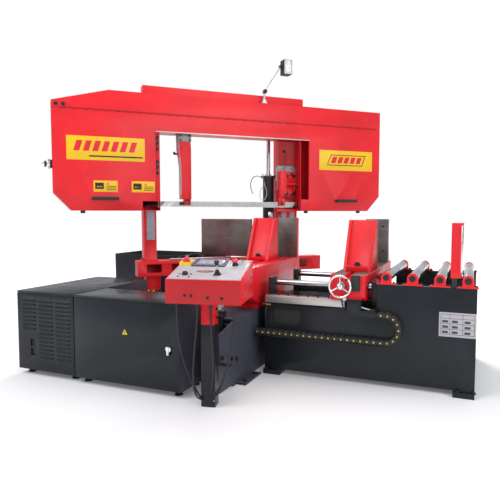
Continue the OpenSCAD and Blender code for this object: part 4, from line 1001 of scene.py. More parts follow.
@dataclass
class Bow(Section):
    """The saw bow: wheel cases, door, signs, wheels, blade and drive."""

    body: str = "bow"
    place: Matrix = field(default_factory=lambda: GANTRY.copy())
    front: float = -0.098
    bottom: float = 1.372
    beam: float = 2.124
    seam: float = 2.294
    wheel_z: float = 1.816
    idler_x: float = -1.565
    drive_x: float = 1.048
    blade_z: float = 1.4402

    def build(self) -> None:
        """Makes every piece of the bow."""
        self.cases()
        self.signs()
        self.hardware()
        self.wheels()
        self.blade()
        self.drive()
        self.tension()

    def cases(self) -> None:
        """The painted cases, the long box on top and the door."""
        # Faces inside the case, between its walls, take the deeper red as painted shade.
        self.skin("bow_body", RED, "red_paint", 0.003, areas=[
            (DEEP_RED_AND_SHADE, lambda c, n: -0.05 < c.y < 0.077 and self.bottom + 0.01 < c.z < 2.46)])
        self.skin("bow_top_box", RED, "red_paint", 0.004, 3, areas=[
            (ZINC, lambda c, n: c.y < -0.0105 and abs(c.x - 0.034) < 0.06)])
        # The door's inner, back-pointing faces take the deeper red as painted shade; the black faces in front are its
        # grips.
        self.skin("bow_door", RED, "red_paint", 0.005, 3, areas=[
            (BLACK, lambda c, n: c.y < self.front - 0.0005),
            (DEEP_RED_AND_SHADE, lambda c, n: c.y > self.front + 0.0045 and n.y > 0.5)])
        trim = Bench.box((-1.119, self.front - 0.0012, self.beam + 0.0005),
                         (0.543, self.front + 0.003, self.beam + 0.0105), 0.0005)
        self.put(trim, GROUND, "beam_trim", "ground_steel", body="bow_door")
        strip = Bench.box((-1.98, self.front - 0.0016, self.seam + 0.003),
                          (1.40, self.front + 0.002, self.seam + 0.011), 0.0008)
        self.put(strip, DEEP_RED_AND_SHADE, "hinge_leaf", "red_paint")
        knuckle = Bench.rod((0, self.front - 0.003, self.seam - 0.001),
                            (0.046, self.front - 0.003, self.seam - 0.001), 0.0042, 10, 0.001)
        knuckles = Bench.copies(knuckle, [(-1.98 + 0.0975 * k, 0, 0) for k in range(35)])
        self.put(knuckles, DEEP_RED_AND_SHADE, "hinge_knuckles", "red_paint")
        # The ribs inside the door are deeper red as painted shade.
        ribs = [Bench.box((x, self.front + 0.004, self.bottom + 0.16),
                          (x + 0.03, self.front + 0.022, self.seam - 0.07), 0.002)
                for x in (-1.86, -1.28, 0.60, 1.33)]
        self.put(ribs, DEEP_RED_AND_SHADE, "door_ribs", "red_paint", body="bow_door")

    def sign(self, name: str, low: Pair, high: Pair, marks: Sequence[tuple[Sequence[Pair], Finish]]) -> None:
        """A thin sign on the door.

        Args:
            name: Its name.
            low: Its lower left corner, in X and Z.
            high: Its upper right corner.
            marks: The outline and the finish of each plain mark on it.
        """
        face = self.front - 0.0012
        parts = [Bench.dress(Bench.plate(frames(low, high), face, self.front + 0.0005, Plane.XZ, 0.0005), YELLOW)]
        for outline, finish in marks:
            parts.append(Bench.dress(Bench.plate(outline, face - 0.0006, face + 0.0003, Plane.XZ), finish))
        self.add(Bench.join(parts), name, "panel_grey", body="bow_door")

    def signs(self) -> None:
        """Two long yellow signs with plain saw-tooth marks and two small ones."""
        lean, wide = 0.030, 0.052
        teeth = []
        for k in range(7):
            x = -1.872 + 0.0825 * k
            teeth.append(([(x, 1.918), (x + wide, 1.918), (x + wide + lean, 2.012), (x + lean, 2.012)], SIGN_RED))
        bar = ([(-1.735, 1.866), (-1.246, 1.866), (-1.246, 1.879), (-1.735, 1.879)], SIGN_BLACK)
        self.sign("long_sign_left", (-1.931, 1.835), (-1.225, 2.052), [*teeth, bar])
        rim = [(0.765, 1.872), (1.215, 1.872), (1.262, 1.990), (0.812, 1.990)]
        inner = [(0.775, 1.880), (1.207, 1.880), (1.248, 1.982), (0.816, 1.982)]
        marks = [(rim, SIGN_BLACK)]
        self.sign("long_sign_right", (0.669, 1.819), (1.349, 2.036), marks)
        face = self.front - 0.0024
        parts = [Bench.dress(Bench.plate(inner, face, face + 0.0010, Plane.XZ), YELLOW)]
        for k in range(5):
            x = 0.812 + 0.079 * k
            tooth = [(x, 1.897), (x + 0.056, 1.897), (x + 0.056 + lean * 0.9, 1.966), (x + lean * 0.9, 1.966)]
            parts.append(Bench.dress(Bench.plate(tooth, face - 0.0006, face + 0.0004, Plane.XZ), SIGN_RED))
        self.add(Bench.join(parts), "long_sign_marks", "red_paint", body="bow_door")
        for name, x, z in (("small_sign_left", -1.701, 1.546), ("small_sign_right", -1.352, 1.546)):
            lines = [(frames((x + 0.115, z + h), (x + 0.205, z + h + 0.006)), SIGN_BLACK) for h in (0.018, 0.034,
                                                                                                    0.050)]
            block = (frames((x + 0.014, z + 0.026), (x + 0.092, z + 0.084)), SIGN_BLACK)
            wedge = ([(x + 0.118, z + 0.068), (x + 0.142, z + 0.068), (x + 0.130, z + 0.088)], SIGN_RED)
            dash = (frames((x + 0.028, z + 0.044), (x + 0.078, z + 0.052)), YELLOW)
            self.sign(name, (x, z), (x + 0.218, z + 0.104), [*lines, block, wedge, dash])

    def hardware(self) -> None:
        """Bolts, rubber stops and the door's grips."""
        self.bolts("strip_bolts", [(-1.105, -0.086, z) for z in (2.076, 2.022, 1.968, 1.844, 1.793, 1.738)],
                   FRONT, 0.015)
        self.bolts("corner_bolts", [(-2.012, self.front, 2.326), (-1.949, self.front, 2.327)], FRONT, 0.013)
        stop = Bench.turned([(0, 0.004), (0.022, 0.004), (0.022, -0.018), (0.017, -0.024), (0, -0.024)], ORIGIN,
                            UP, 20)
        stops = Bench.copies(stop, [(x, -0.05, self.bottom) for x in (-1.796, 0.533, 1.202)])
        self.put(stops, RUBBER, "rubber_stops", "cable_rubber")
        end = Bench.box((-0.014, -0.004, -0.014), (0.014, 0.001, 0.014), 0.002)
        ends = Bench.copies(end, [(x, self.front, 1.484) for x in (-1.707, -1.488, 0.883, 1.118)])
        self.put(ends, BLACK, "grip_feet", "black_plastic", body="bow_door")

    def wheels(self) -> None:
        """The two band wheels."""
        for node, x in (("drive_wheel", self.drive_x), ("idler_wheel", self.idler_x)):
            def far(c: Vector, x: float = x) -> float:
                return math.hypot(c.x - x, c.z - self.wheel_z)

            self.skin(node, WHEEL_RED, "wheel_iron", 0.002, areas=[
                (TURNED, lambda c, n, far=far: far(c) < 0.0815 and abs(c.y) > 0.0255),
                (GROUND, lambda c, n, far=far: far(c) > 0.3735)])
            places = [(x + 0.058 * math.cos(a), -0.031, self.wheel_z + 0.058 * math.sin(a))
                      for a in (math.tau * k / 6 for k in range(6))]
            self.bolts(node + "_bolts", places, FRONT, 0.009, ZINC, body=node, slot="chrome")

    def blade(self) -> None:
        """The endless band and the teeth along its straight run."""
        self.skin("blade", BAND, "blade_steel", 0, smooth=20)
        low = self.blade_z - 0.027
        pitch = 0.016
        outline = [(-0.905, low + 0.001)]
        count = int(1.293 / pitch)
        for k in range(count):
            x = -0.905 + pitch * k
            outline += [(x + 0.001, low - 0.0065), (x + pitch * 0.45, low - 0.001), (x + pitch - 0.001, low - 0.0005)]
        outline.append((-0.905 + pitch * count, low + 0.001))
        teeth = Bench.plate(outline, -0.0011, 0.0011, Plane.XZ)
        self.put(teeth, ZINC, "blade_teeth", "blade_steel", smooth=10)

    def drive(self) -> None:
        """The gearbox and the motor behind the right case."""
        self.skin("gearbox", DEEP_RED_AND_SHADE, "gear_paint", 0.006, 3)
        self.skin("drive_motor", MOTOR_GREY, "motor_paint", 0.002)
        x, y = self.drive_x, 0.202
        ring = [(x + 0.148 * math.cos(a), 0.220, self.wheel_z + 0.148 * math.sin(a)) for a in
                (math.tau * (k + 0.5) / 10 for k in range(10))]
        self.bolts("gearbox_bolts", [p for p in ring if p[2] < 1.9], BACK, 0.011)
        case = Bench.box((x - 0.055, y + 0.085, 2.20), (x + 0.055, y + 0.135, 2.33), 0.006, 3)
        lid = Bench.box((x - 0.058, y + 0.133, 2.197), (x + 0.058, y + 0.146, 2.333), 0.004, 3)
        self.put([case, lid], MOTOR_GREY, "motor_terminal_box", "motor_paint")
        self.bolts("terminal_box_screws", [(x + s * 0.048, y + 0.146, z) for s in (-1, 1) for z in (2.207, 2.323)],
                   BACK, 0.005, ZINC, slot="chrome")
        cowl = Bench.turned([(0.03, 0), (0.088, 0), (0.088, 0.004), (0.060, 0.010), (0.03, 0.010)], (x, y, 2.456),
                            UP, 36)
        self.put(cowl, MOTOR_GREY, "motor_fan_cowl", "motor_paint")
        plug = Bench.turned([(0, 0), (0.020, 0), (0.020, 0.006), (0.013, 0.008), (0.013, 0.016), (0, 0.016)],
                            (x - 0.16, 0.155, self.wheel_z), (-1, 0, 0), 6)
        self.put(plug, BRASS, "gearbox_oil_plug", "chrome")

    def tension(self) -> None:
        """The band tensioner at the left end."""
        z = self.wheel_z - 0.020
        self.skin("tension_unit", BLACK_STEEL, "black_steel", 0.002, areas=[
            (CHROME, lambda c, n: c.x < -2.0515 and math.hypot(c.y, c.z - z) < 0.0165 or c.x < -2.072)])
        nut = Bench.turned([(0, 0), (0.015, 0), (0.015, 0.012), (0.012, 0.014), (0, 0.014)], ORIGIN, (-1, 0, 0), 6)
        nuts = Bench.copies(nut, [(-2.068, 0, self.wheel_z + d) for d in (-0.052, 0.012)])
        self.put(nuts, ZINC, "tension_nuts", "chrome")
        collar = Bench.turned([(0.0155, 0), (0.026, 0), (0.028, 0.003), (0.028, 0.015), (0.026, 0.018),
                               (0.0155, 0.018)],
                              (-2.100, 0, z), (-1, 0, 0), 28)
        self.put(collar, BLACK_STEEL, "tension_collar", "black_steel")


@dataclass
class Guides(Section):
    """The two blade guides, the sliding one on the left and the fixed one on the right."""

    body: str = "bow"
    place: Matrix = field(default_factory=lambda: GANTRY.copy())

    def build(self) -> None:
        """Makes both guides."""
        self.fixed()
        self.sliding()

    def fixed(self) -> None:
        """The bracket and the blocks on the right, with the casting and the lead behind them."""
        self.skin("fixed_guide", RED, "red_paint", 0.002, areas=[
            (BLACK_STEEL, lambda c, n: c.y < 0.0435 and c.x > 0.28 and c.y > 0.03
             and min(math.hypot(c.x - a, c.z - b) for a in (0.3, 0.4) for b in (1.55, 1.77)) < 0.0145),
            (CAST, lambda c, n: 0.043 < c.y < 0.061 and c.x < 0.2355 and c.z > 1.689)])
        outline = [(0.232, 1.60), (0.4495, 1.60), *circle(0.4145, 1.828, 0.035, 8, 0, math.pi / 2), (0.232, 1.863)]
        casting = Bench.plate(outline, 0.0445, 0.0595, Plane.XZ, 0.003, 3)
        self.put(casting, CAST, "guide_casting", "ground_steel")
        bar = Bench.box((0.237, -0.034, 1.526), (0.308, -0.014, 1.802), 0.003, 3)
        self.put(bar, RED, "guide_upright", "red_paint")
        self.bolts("guide_bolts", [(0.290, -0.034, 1.545), (0.255, -0.022, 1.452)], FRONT, 0.010)
        self.bolts("bracket_bolts", [(0.352, 0.044, 1.755), (0.430, 0.044, 1.755), (0.352, 0.044, 1.56),
                                     (0.430, 0.044, 1.56)],
                   FRONT, 0.014)
        grommet = Bench.turned([(0.006, 0.001), (0.017, 0.001), (0.017, 0.006), (0.013, 0.010), (0.006, 0.010)],
                               (0.319, 0.060, 2.021), FRONT, 24)
        self.put(grommet, RUBBER, "lead_grommet", "cable_rubber")
        route = [(0.319, 0.052, 2.021), (0.320, 0.038, 2.017), (0.322, 0.027, 2.004), (0.323, 0.022, 1.985),
                 (0.323, 0.020, 1.960), (0.321, 0.019, 1.935), (0.318, 0.018, 1.91), (0.315, 0.017, 1.885),
                 (0.311, 0.016, 1.86), (0.307, 0.013, 1.84), (0.302, 0.009, 1.825), (0.297, 0.004, 1.812),
                 (0.292, -0.002, 1.805), (0.288, -0.008, 1.800), (0.285, -0.014, 1.794)]
        self.lead("speed_sensor_lead", route, 0.0032, RUBBER)
        nozzle = Bench.tube([(0.262, -0.045, 1.50), (0.262, -0.052, 1.485), (0.262, -0.048, 1.468),
                             (0.262, -0.032, 1.458)], 0.005)
        self.put(nozzle, BRASS, "coolant_nozzle", "chrome")

    def sliding(self) -> None:
        """The sliding arm, with its roller, clamp knob and pads."""
        self.skin("guide_arm", RED, "red_paint", 0.003, areas=[
            (CAST, lambda c, n: c.z > 2.0535),
            (BLACK, lambda c, n: c.x < -0.8855 or (c.y < -0.0225 and c.z < 1.4645 and c.x < -0.82))])
        body = "guide_arm"
        self.bolts("arm_pad_bolts", [(-0.800, -0.044, 1.478), (-0.775, -0.044, 1.478), (-0.772, -0.022, 1.44)],
                   FRONT, 0.007,
                   body=body)
        self.bolts("arm_block_bolts", [(x, -0.056, z) for x in (-0.866, -0.774) for z in (2.068, 2.108)],
                   FRONT, 0.008, body=body)
        tyre = Bench.turned([(0.006, 0), (0.017, 0), (0.0185, 0.004), (0.0185, 0.020), (0.017, 0.024),
                             (0.006, 0.024)],
                            (-0.843, -0.008, 1.446), FRONT, 28)
        self.put(tyre, RUBBER, "arm_roller", "cable_rubber", body=body)
        knob = Bench.turned([(0.004, 0), (0.014, 0.004), (0.016, 0.012), (0.013, 0.020), (0, 0.022), (0, 0)],
                            (-0.905, -0.003, 1.940), (-1, 0, 0), 12)
        self.put(knob, BLACK, "arm_clamp_knob", "black_plastic", body=body)
        pin = Bench.rod((-0.885, -0.040, 1.502), (-0.748, -0.040, 1.502), 0.0035, 12, 0.0008)
        self.put(pin, ZINC, "arm_coolant_pipe", "chrome", body=body)
        edge = Bench.plate([(-0.884, 2.052), (-0.880, 2.052), (-0.878, 1.990), (-0.856, 1.800), (-0.856, 1.53),
                            (-0.860, 1.53),
                            (-0.860, 1.80), (-0.884, 1.990)], -0.049, 0.041, Plane.XZ, 0.001)
        self.put(edge, PALE_GREY, "arm_scale", "panel_grey", body=body)


@dataclass
class Gantry(Section):
    """The swivel arm, the columns and the lift."""

    body: str = "gantry"
    place: Matrix = field(default_factory=lambda: GANTRY.copy())
    arm_top: float = 0.867

    def build(self) -> None:
        """Makes every piece of the gantry."""
        # Faces inside the arm's opening take the deeper red as painted shade.
        self.skin("swivel_arm", RED, "red_paint", 0.003, areas=[
            (BRASS, lambda c, n: c.z < 0.5705 and c.x < -1.05),
            (DEEP_RED_AND_SHADE, lambda c, n: self.arm_top - 0.147 < c.z < self.arm_top - 0.011 and 0.103 < c.y < 0.241)])
        self.skin("columns", RED, "red_paint", 0.003, areas=[
            (WAYS, lambda c, n: c.y < 0.0995 and c.z > 0.9)])
        self.skin("lift_cylinder", BLACK_STEEL, "black_steel", 0.003, areas=[
            (ZINC, lambda c, n: c.z > 1.7575 and math.hypot(abs(c.x - 0.177) - 0.048,
                                                            abs(c.y - 0.160) - 0.048) < 0.009)])
        Section(body="bow", place=self.place).skin("lift_rod", ROD_CHROME, "chrome", 0.003)
        for name, x, w in (("left", -1.143, 0.157), ("right", 0.385, 0.260)):
            spots = [(x + s * (w / 2 - 0.008), y, self.arm_top + 0.014) for s in (-1, 1) for y in (0.115, 0.238)]
            self.bolts(f"{name}_column_bolts", spots, UP, 0.010)
            half = (w - 0.030) / 2
            cap = Bench.box((x - half - 0.003, 0.103, 2.446), (x + half + 0.003, 0.235, 2.456), 0.003)
            self.put(cap, RED, f"{name}_column_cap", "red_paint")
        for z in (1.79, 1.25):
            port = Bench.turned([(0, 0), (0.013, 0), (0.013, 0.016), (0.010, 0.020), (0, 0.020)],
                                (0.117, 0.150, z - 0.05), (-1, 0, 0), 6)
            self.put(port, ZINC, f"cylinder_port_{round(z * 100)}", "chrome")
        self.hoses()
        nameplate = Bench.box((0.150, 0.0985, 1.30), (0.204, 0.1005, 1.36), 0.0008)
        self.put(nameplate, ZINC, "cylinder_plate", "chrome")
        rail = Bench.rod((-0.95, 0.110, self.arm_top + 0.012), (-0.30, 0.110, self.arm_top + 0.012), 0.008, 14, 0.002)
        self.put(rail, ZINC, "arm_pipe", "chrome")

    def hoses(self) -> None:
        """A limp sensor lead and a clear drain hose beside the cylinder."""
        tip = Bench.rod((-0.0415, 0.1004, 1.580), (-0.034, 0.0985, 1.556), 0.0062, 14, 0.0015)
        tip = self.put(tip, BRASS, "sensor_plug", "chrome")
        self.lead(
            "sensor_lead",
            [(0.110, 0.150, 1.738), (0.098, 0.148, 1.741), (0.083, 0.145, 1.744), (0.067, 0.142, 1.748),
             (0.050, 0.138, 1.750), (0.032, 0.134, 1.750), (0.014, 0.130, 1.748), (-0.004, 0.126, 1.741),
             (-0.020, 0.122, 1.730), (-0.034, 0.118, 1.714), (-0.045, 0.114, 1.694), (-0.052, 0.110, 1.672),
             (-0.055, 0.107, 1.648), (-0.054, 0.104, 1.622), (-0.048, 0.102, 1.598), (-0.040, 0.100, 1.575)],
            0.0045, GREY_HOSE, far_end="connector", stiffness="stiff", with_pieces=[tip],
        )
        self.lead(
            "drain_hose",
            [(0.118, 0.130, 1.690), (0.110, 0.118, 1.676), (0.108, 0.106, 1.658), (0.114, 0.098, 1.636),
             (0.122, 0.093, 1.612), (0.127, 0.090, 1.586), (0.127, 0.088, 1.560), (0.122, 0.087, 1.535),
             (0.112, 0.087, 1.512), (0.098, 0.087, 1.494), (0.081, 0.088, 1.487), (0.064, 0.090, 1.494),
             (0.053, 0.093, 1.512), (0.049, 0.097, 1.536), (0.052, 0.101, 1.562), (0.060, 0.106, 1.588),
             (0.073, 0.112, 1.610), (0.090, 0.120, 1.626), (0.106, 0.130, 1.632), (0.120, 0.140, 1.632)],
            0.0035, PALE_GREY,
        )


@dataclass
class WorkLamp(Section):
    """The jointed work lamp on top of the bow."""

    place: Matrix = field(default_factory=lambda: GANTRY.copy())

    def build(self) -> None:
        """Makes the arm and the head."""
        self.skin("lamp_arm", ZINC, "lamp_metal", 0.001)
        self.skin("lamp_head", BLACK, "lamp_plastic", 0.003, 3, areas=[
            (LENS, lambda c, n: -0.1125 < c.y < -0.1035 and n.y < -0.9),
            (ZINC, lambda c, n: c.y < -0.1185)])
        lean = math.radians(34)
        x, z = 0.034 + 0.331 * math.sin(lean), 2.609 + 0.331 * math.cos(lean)
        fin = Bench.box((x + 0.022, -0.015, 0), (x + 0.100, -0.001, 0.0025), 0.001)
        fins = Bench.copies(fin, [(0, 0, z - 0.074 + 0.016 * k) for k in range(9)])
        self.put(fins, BLACK, "lamp_fins", "lamp_plastic", body="lamp_head")
        bars = [Bench.box((x + 0.026 + 0.012 * k, -0.1130, z - 0.074), (x + 0.030 + 0.012 * k, -0.1115, z + 0.056),
                          0.0005)
                for k in range(6)]
        self.put(bars, LENS, "lamp_lens_ribs", "lamp_plastic", body="lamp_head")
        turn = [(0, 0), (0.014, 0), (0.016, 0.004), (0.016, 0.012), (0.013, 0.016), (0, 0.016)]
        knob = Bench.turned(turn, (x, -0.075, z), FRONT, 10)
        self.put(knob, BLACK, "lamp_knob", "lamp_plastic", body="lamp_head")
        elbow = Bench.turned([(0, 0), (0.018, 0), (0.022, 0.005), (0.022, 0.014), (0.016, 0.020), (0, 0.021)],
                             (0.034, -0.069, 2.609), FRONT, 16)
        self.put(elbow, BLACK, "lamp_elbow_knob", "lamp_plastic", body="bow")


# ---- base, vises and cabinets ----


@dataclass
class Base(Section):
    """The base frame, the table and the two vises of the saw."""

    table: float = 0.895

    def build(self) -> None:
        """Makes the base, the jaws and the outfeed table."""
        self.skin("base_frame", GREY_BLUE_AND_LIT_SIDE, "side_paint", 0.003, areas=[
            (GROUND, lambda c, n: c.z > 0.5301 and n.z > 0.5),
            (SLATE, lambda c, n: n.y < -0.9 and c.z < 0.53)])
        self.bolts("side_bolts", [(0.410, -1.752, 0.280), (0.410, -1.582, 0.231), (0.410, -1.492, 0.207)],
                   RIGHT, 0.014)
        ledge = Bench.box((0.409, -1.790, 0.232), (0.500, -1.752, 0.244), 0.002)
        self.put(ledge, BLACK_STEEL, "side_ledge", "black_steel")
        self.bolts("plate_bolts", [(0.455, y, 0.015) for y in (-1.43, -1.22)], UP, 0.014)
        self.skin("main_vise", RED, "red_paint", 0.003)
        self.skin("fixed_jaws", RED, "red_paint", 0.003, areas=[
            (JAW, lambda c, n: c.z > 0.8795 and -0.001 < c.y < 0.0505 and c.x < 0.4155)])
        self.skin("main_jaw", RED, "red_paint", 0.003, areas=[(JAW, lambda c, n: c.y > -0.2565)])
        self.bolts("main_jaw_bolt", [(0.190, -0.500, 0.940)], UP, 0.020, body="main_jaw")
        slots = [Bench.box((x - 0.014, -0.2392, z - 0.005), (x + 0.014, -0.2378, z + 0.005), 0.0005)
                 for x in (0.105, 0.275) for z in (0.98, 1.21)]
        self.put(slots, BLACK_STEEL, "main_jaw_slots", "jaw_steel", body="main_jaw")
        self.skin("outfeed_table", SLATE, "dark_paint", 0.005, 3)
        for name, places in (("base_feet", [(-0.66, -1.47), (0.33, -1.47), (-0.66, 0.48), (0.33, 0.48)]),):
            foot = Bench.turned([(0, 0), (0.045, 0), (0.045, 0.006), (0.020, 0.012), (0, 0.012)], ORIGIN,
                                UP, 24)
            foot = Bench.copies(foot, [(x, y, 0) for x, y in places])
            self.put(foot, BLACK_STEEL, name, "black_steel")
        self.coolant()

    def coolant(self) -> None:
        """The valve block at the front of the base, with its fittings."""
        self.skin("valve_block", BLACK_STEEL, "black_steel", 0.002)
        caps = Bench.turned([(0, 0), (0.0145, 0), (0.0145, 0.010), (0.011, 0.012), (0, 0.012)], ORIGIN,
                            FRONT, 6)
        caps = Bench.copies(caps, [(x, -1.723, 0.525) for x in (0.266, 0.300, 0.334)])
        self.put(caps, ZINC, "valve_caps", "chrome")
        ring = Bench.turned([(0.030, 0), (0.037, 0), (0.037, 0.014), (0.030, 0.014)], (0.250, -1.650, 0.588),
                            RIGHT, 28)
        self.put(ring, ZINC, "valve_ring", "chrome")


@dataclass
class Cabinets(Section):
    """The hydraulic and the electrical cabinet."""

    top: float = 0.705

    def build(self) -> None:
        """Makes both cabinets with what is in them."""
        # Right-pointing sides take the lighter grey-blue: painted light on the slate sides that face the light.
        side = [(GREY_BLUE_AND_LIT_SIDE, lambda c, n: n.x > 0.9 and n.z < 0.1)]
        for node in ("hydraulic_cabinet", "electrical_cabinet"):
            self.skin(node, SLATE, "dark_paint", 0.003, areas=side)
        Section(body="hydraulic_door").skin("hydraulic_door", SLATE, "dark_paint", 0.0015)
        Section(body="electrical_door").skin("electrical_door", SLATE, "dark_paint", 0.002, areas=side)
        self.skin("power_pack", TANK, "tank_paint", 0.004, areas=[
            (MOTOR_GREY, lambda c, n: c.z > 0.3305)])
        self.skin("electrical_panel", PANEL_WHITE, "panel_white", 0.001, areas=[
            (BLACK, lambda c, n: c.y < -1.5595)])
        Section(body="door_lock").skin("door_lock", CHROME, "chrome", 0.0015)
        self.front_details()
        self.inside()

    def front_details(self) -> None:
        """The pull, the louvres' lips, the warning triangle and the feet."""
        lip = Bench.plate([(-1.9345, 0.003), (-1.943, 0.003), (-1.943, 0.005), (-1.9345, 0.019)], 0, 0.134, Plane.YZ)
        rows = [(-1.345, k) for k in range(7, 15)] + [(x, k) for x in (-1.166, -0.988) for k in range(15)]
        lips = Bench.copies(lip, [(x, 0, 0.152 + 0.0335 * k) for x, k in rows])
        self.put(lips, SLATE, "louvre_lips", "dark_paint", body="hydraulic_door")
        pull = Bench.box((-1.2695, -1.9205, 0.172), (-1.2165, -1.9185, 0.307), 0.001)
        grip = Bench.box((-1.268, -1.934, 0.232), (-1.218, -1.9195, 0.246), 0.002)
        self.put([pull, grip], BLACK, "hydraulic_pull", "black_plastic", body="hydraulic_door")
        x, z, h = -0.307, 0.447, 0.029
        outer = [(x - 1.15 * h, z - 0.66 * h), (x + 1.15 * h, z - 0.66 * h), (x, z + 1.34 * h)]
        inner = [(x - 0.82 * h, z - 0.47 * h), (x + 0.82 * h, z - 0.47 * h), (x, z + 0.96 * h)]
        sign = [Bench.dress(Bench.plate(outer, -1.9512, -1.9498, Plane.XZ), SIGN_BLACK),
                Bench.dress(Bench.plate(inner, -1.9516, -1.9508, Plane.XZ), YELLOW),
                Bench.dress(Bench.plate(circle(x, z, 0.0065, 16), -1.9522, -1.9512, Plane.XZ), SIGN_BLACK)]
        self.add(Bench.join(sign), "warning_triangle", "panel_grey", body="electrical_door")
        foot = Bench.turned([(0, 0), (0.032, 0), (0.032, 0.007), (0.012, 0.010), (0.012, 0.040), (0, 0.040)],
                            ORIGIN, UP, 24)
        spots = [(x, y, 0) for x in (-1.345, -0.870) for y in (-1.852, -0.965)]
        spots += [(x, y, 0) for x in (-0.730, 0.111) for y in (-1.867, -1.610)]
        self.put(Bench.copies(foot, spots), BLACK_STEEL, "cabinet_feet", "black_steel")

    def inside(self) -> None:
        """Rails and terminals in the electrical cabinet, gauge and cap on the power pack."""
        rails = [Bench.box((-0.715, -1.566, z + 0.030), (0.096, -1.5585, z + 0.060), 0.001) for z in (0.18, 0.34,
                                                                                                      0.50)]
        self.put(rails, ZINC, "mounting_rails", "chrome")
        screw = Bench.turned([(0, 0), (0.006, 0), (0.006, 0.0012), (0, 0.0012)], ORIGIN, FRONT, 8)
        spots = [(-0.674 + 0.108 * i + dx, -1.629, z) for i in range(7) for dx in (0, 0.026, 0.052)
                 for base in (0.18, 0.34, 0.50) for z in (base + 0.014, base + 0.076)]
        self.put(Bench.copies(screw, spots), ZINC, "terminal_screws", "chrome")
        cap = Bench.turned([(0, 0), (0.035, 0), (0.038, 0.006), (0.038, 0.024), (0.032, 0.030), (0, 0.030)],
                           (-1.30, -1.30, 0.330), UP, 20)
        self.put(cap, BLACK, "filler_cap", "black_plastic")
        gauge = Bench.turned([(0, 0), (0.030, 0), (0.030, 0.016), (0.026, 0.018), (0.026, 0.015), (0, 0.015)],
                             (-1.20, -1.800, 0.26), FRONT, 24)
        self.put(gauge, ZINC, "oil_gauge", "chrome")


# ---- feed line ----


@dataclass
class FeedLine(Section):
    """The feed table with its rail, rods, rollers and guide post."""

    front: float = -1.100
    channel: float = 0.802

    def build(self) -> None:
        """Makes the feed line."""
        # The right end's right-pointing faces take the lighter grey-blue as painted light.
        self.skin("feed_table", SLATE, "dark_paint", 0.004, 3, areas=[
            (GREY_BLUE_AND_LIT_SIDE, lambda c, n: n.x > 0.9 and c.x > 2.0)])
        # A black sheet behind the front opening is painted shade for the dark inside of the table.
        back = Bench.box((0.545, self.front + 0.028, 0.41), (0.835, self.front + 0.032, 0.578))
        self.put(back, BLACK, "window_shade_sheet", "black_plastic")
        self.bolts("flange_bolts", [(0.471, self.front + 0.098, z) for z in (0.500, 0.440, 0.385)], FRONT, 0.012)
        self.plate_sign()
        fitting = Bench.rod((0.480, -1.104, 0.5855), (0.553, -1.104, 0.5855), 0.0085, 6, 0.001)
        nut = Bench.rod((0.505, -1.104, 0.5855), (0.527, -1.104, 0.5855), 0.0125, 6, 0.001)
        self.put([fitting, nut], BRASS, "brass_fitting", "chrome")
        corners = [(x, y) for x in (0.497, 2.153 - 0.150) for y in (-1.140, -0.030)]
        spots = [(x + dx, y + 0.02, 0.040) for x, y in corners for dx in (0.02, 0.13)]
        self.bolts("levelling_bolts", spots, UP, 0.012)
        self.skin("feed_rail", GROUND, "ground_steel", 0.002)
        self.bolts("rail_bolts", [(0.53 + 0.085 * k, y, 0.665) for k in range(8) for y in (-1.084, -0.184)],
                   UP, 0.007)
        self.skin("guide_rods", ROD_CHROME, "chrome", 0.003)
        self.skin("rod_supports", BLACK_STEEL, "black_steel", 0.003)
        self.bolts("support_bolts", [(x, y, 0.807) for x in (0.535, 1.419) for y in (-1.036, -0.964, -0.366, -0.294)],
                   UP, 0.007, ZINC, slot="chrome")
        self.rollers()

    def plate_sign(self) -> None:
        """The light plate with a plain grid on the right part's front."""
        y = self.front
        parts = [Bench.dress(Bench.plate(frames((1.882, 0.440), (2.138, 0.621)), y - 0.0015, y + 0.0005, Plane.XZ,
                                         0.0004), PALE_GREY)]
        for z in (0.456, 0.496, 0.536, 0.576, 0.606):
            parts.append(Bench.dress(Bench.plate(frames((1.894, z), (2.126, z + 0.0022)), y - 0.0021, y - 0.0012,
                                                 Plane.XZ), SIGN_BLACK))
        for x in (1.894, 1.957, 2.045, 2.124):
            parts.append(Bench.dress(Bench.plate(frames((x, 0.456), (x + 0.0022, 0.608)), y - 0.0023, y - 0.0012,
                                                 Plane.XZ), SIGN_BLACK))
        for x in (1.905, 1.972, 2.058):
            for z in (0.465, 0.505, 0.545):
                parts.append(Bench.dress(Bench.plate(frames((x, z), (x + 0.040, z + 0.018)), y - 0.0020, y - 0.0012,
                                                     Plane.XZ), GREY_BLUE_AND_LIT_SIDE))
        self.add(Bench.join(parts), "chart_plate", "panel_white")

    def rollers(self) -> None:
        """The rollers, their bearing blocks and the guide post."""
        self.skin("roller_blocks", RED, "red_paint", 0.003)
        spots = [(1.493 + 0.194 * k + dx, y, self.channel + 0.012) for k in range(4) for dx in (-0.056, 0.056)
                 for y in (-1.076, 0.056)]
        self.bolts("block_bolts", spots, UP, 0.009)
        for k in range(1, 5):
            self.skin(f"roller_{k}", TURNED, "roller_steel", 0.003)
        caps = Bench.turned([(0.0145, 0), (0.024, 0), (0.024, 0.004), (0.021, 0.006), (0.0145, 0.006)], ORIGIN,
                            FRONT, 28)
        caps = Bench.copies(caps, [(1.493 + 0.194 * k, -1.098, 0.856) for k in range(4)])
        self.put(caps, BLACK_STEEL, "bearing_caps", "black_steel")
        for k in range(1, 5):
            end = Bench.turned([(0, 0), (0.0135, 0), (0.0135, 0.002), (0, 0.002)],
                               (1.299 + 0.194 * k, -1.100, 0.856), FRONT, 24)
            self.put(end, BLACK_STEEL, f"roller_{k}_end", "black_steel", body=f"roller_{k}")
        flange = Bench.box((1.424, -1.1035, 0), (2.138, -1.0995, 0.006), 0.001)
        flanges = Bench.copies(flange, [(0, 0, z) for z in (0.672, 0.7955)])
        self.put(flanges, SLATE, "channel_flanges", "dark_paint")
        self.skin("guide_post", RED, "red_paint", 0.002, areas=[(BLACK_STEEL, lambda c, n: c.z < 0.8745)])
        self.skin("guide_roller", TURNED, "roller_steel", 0.002)


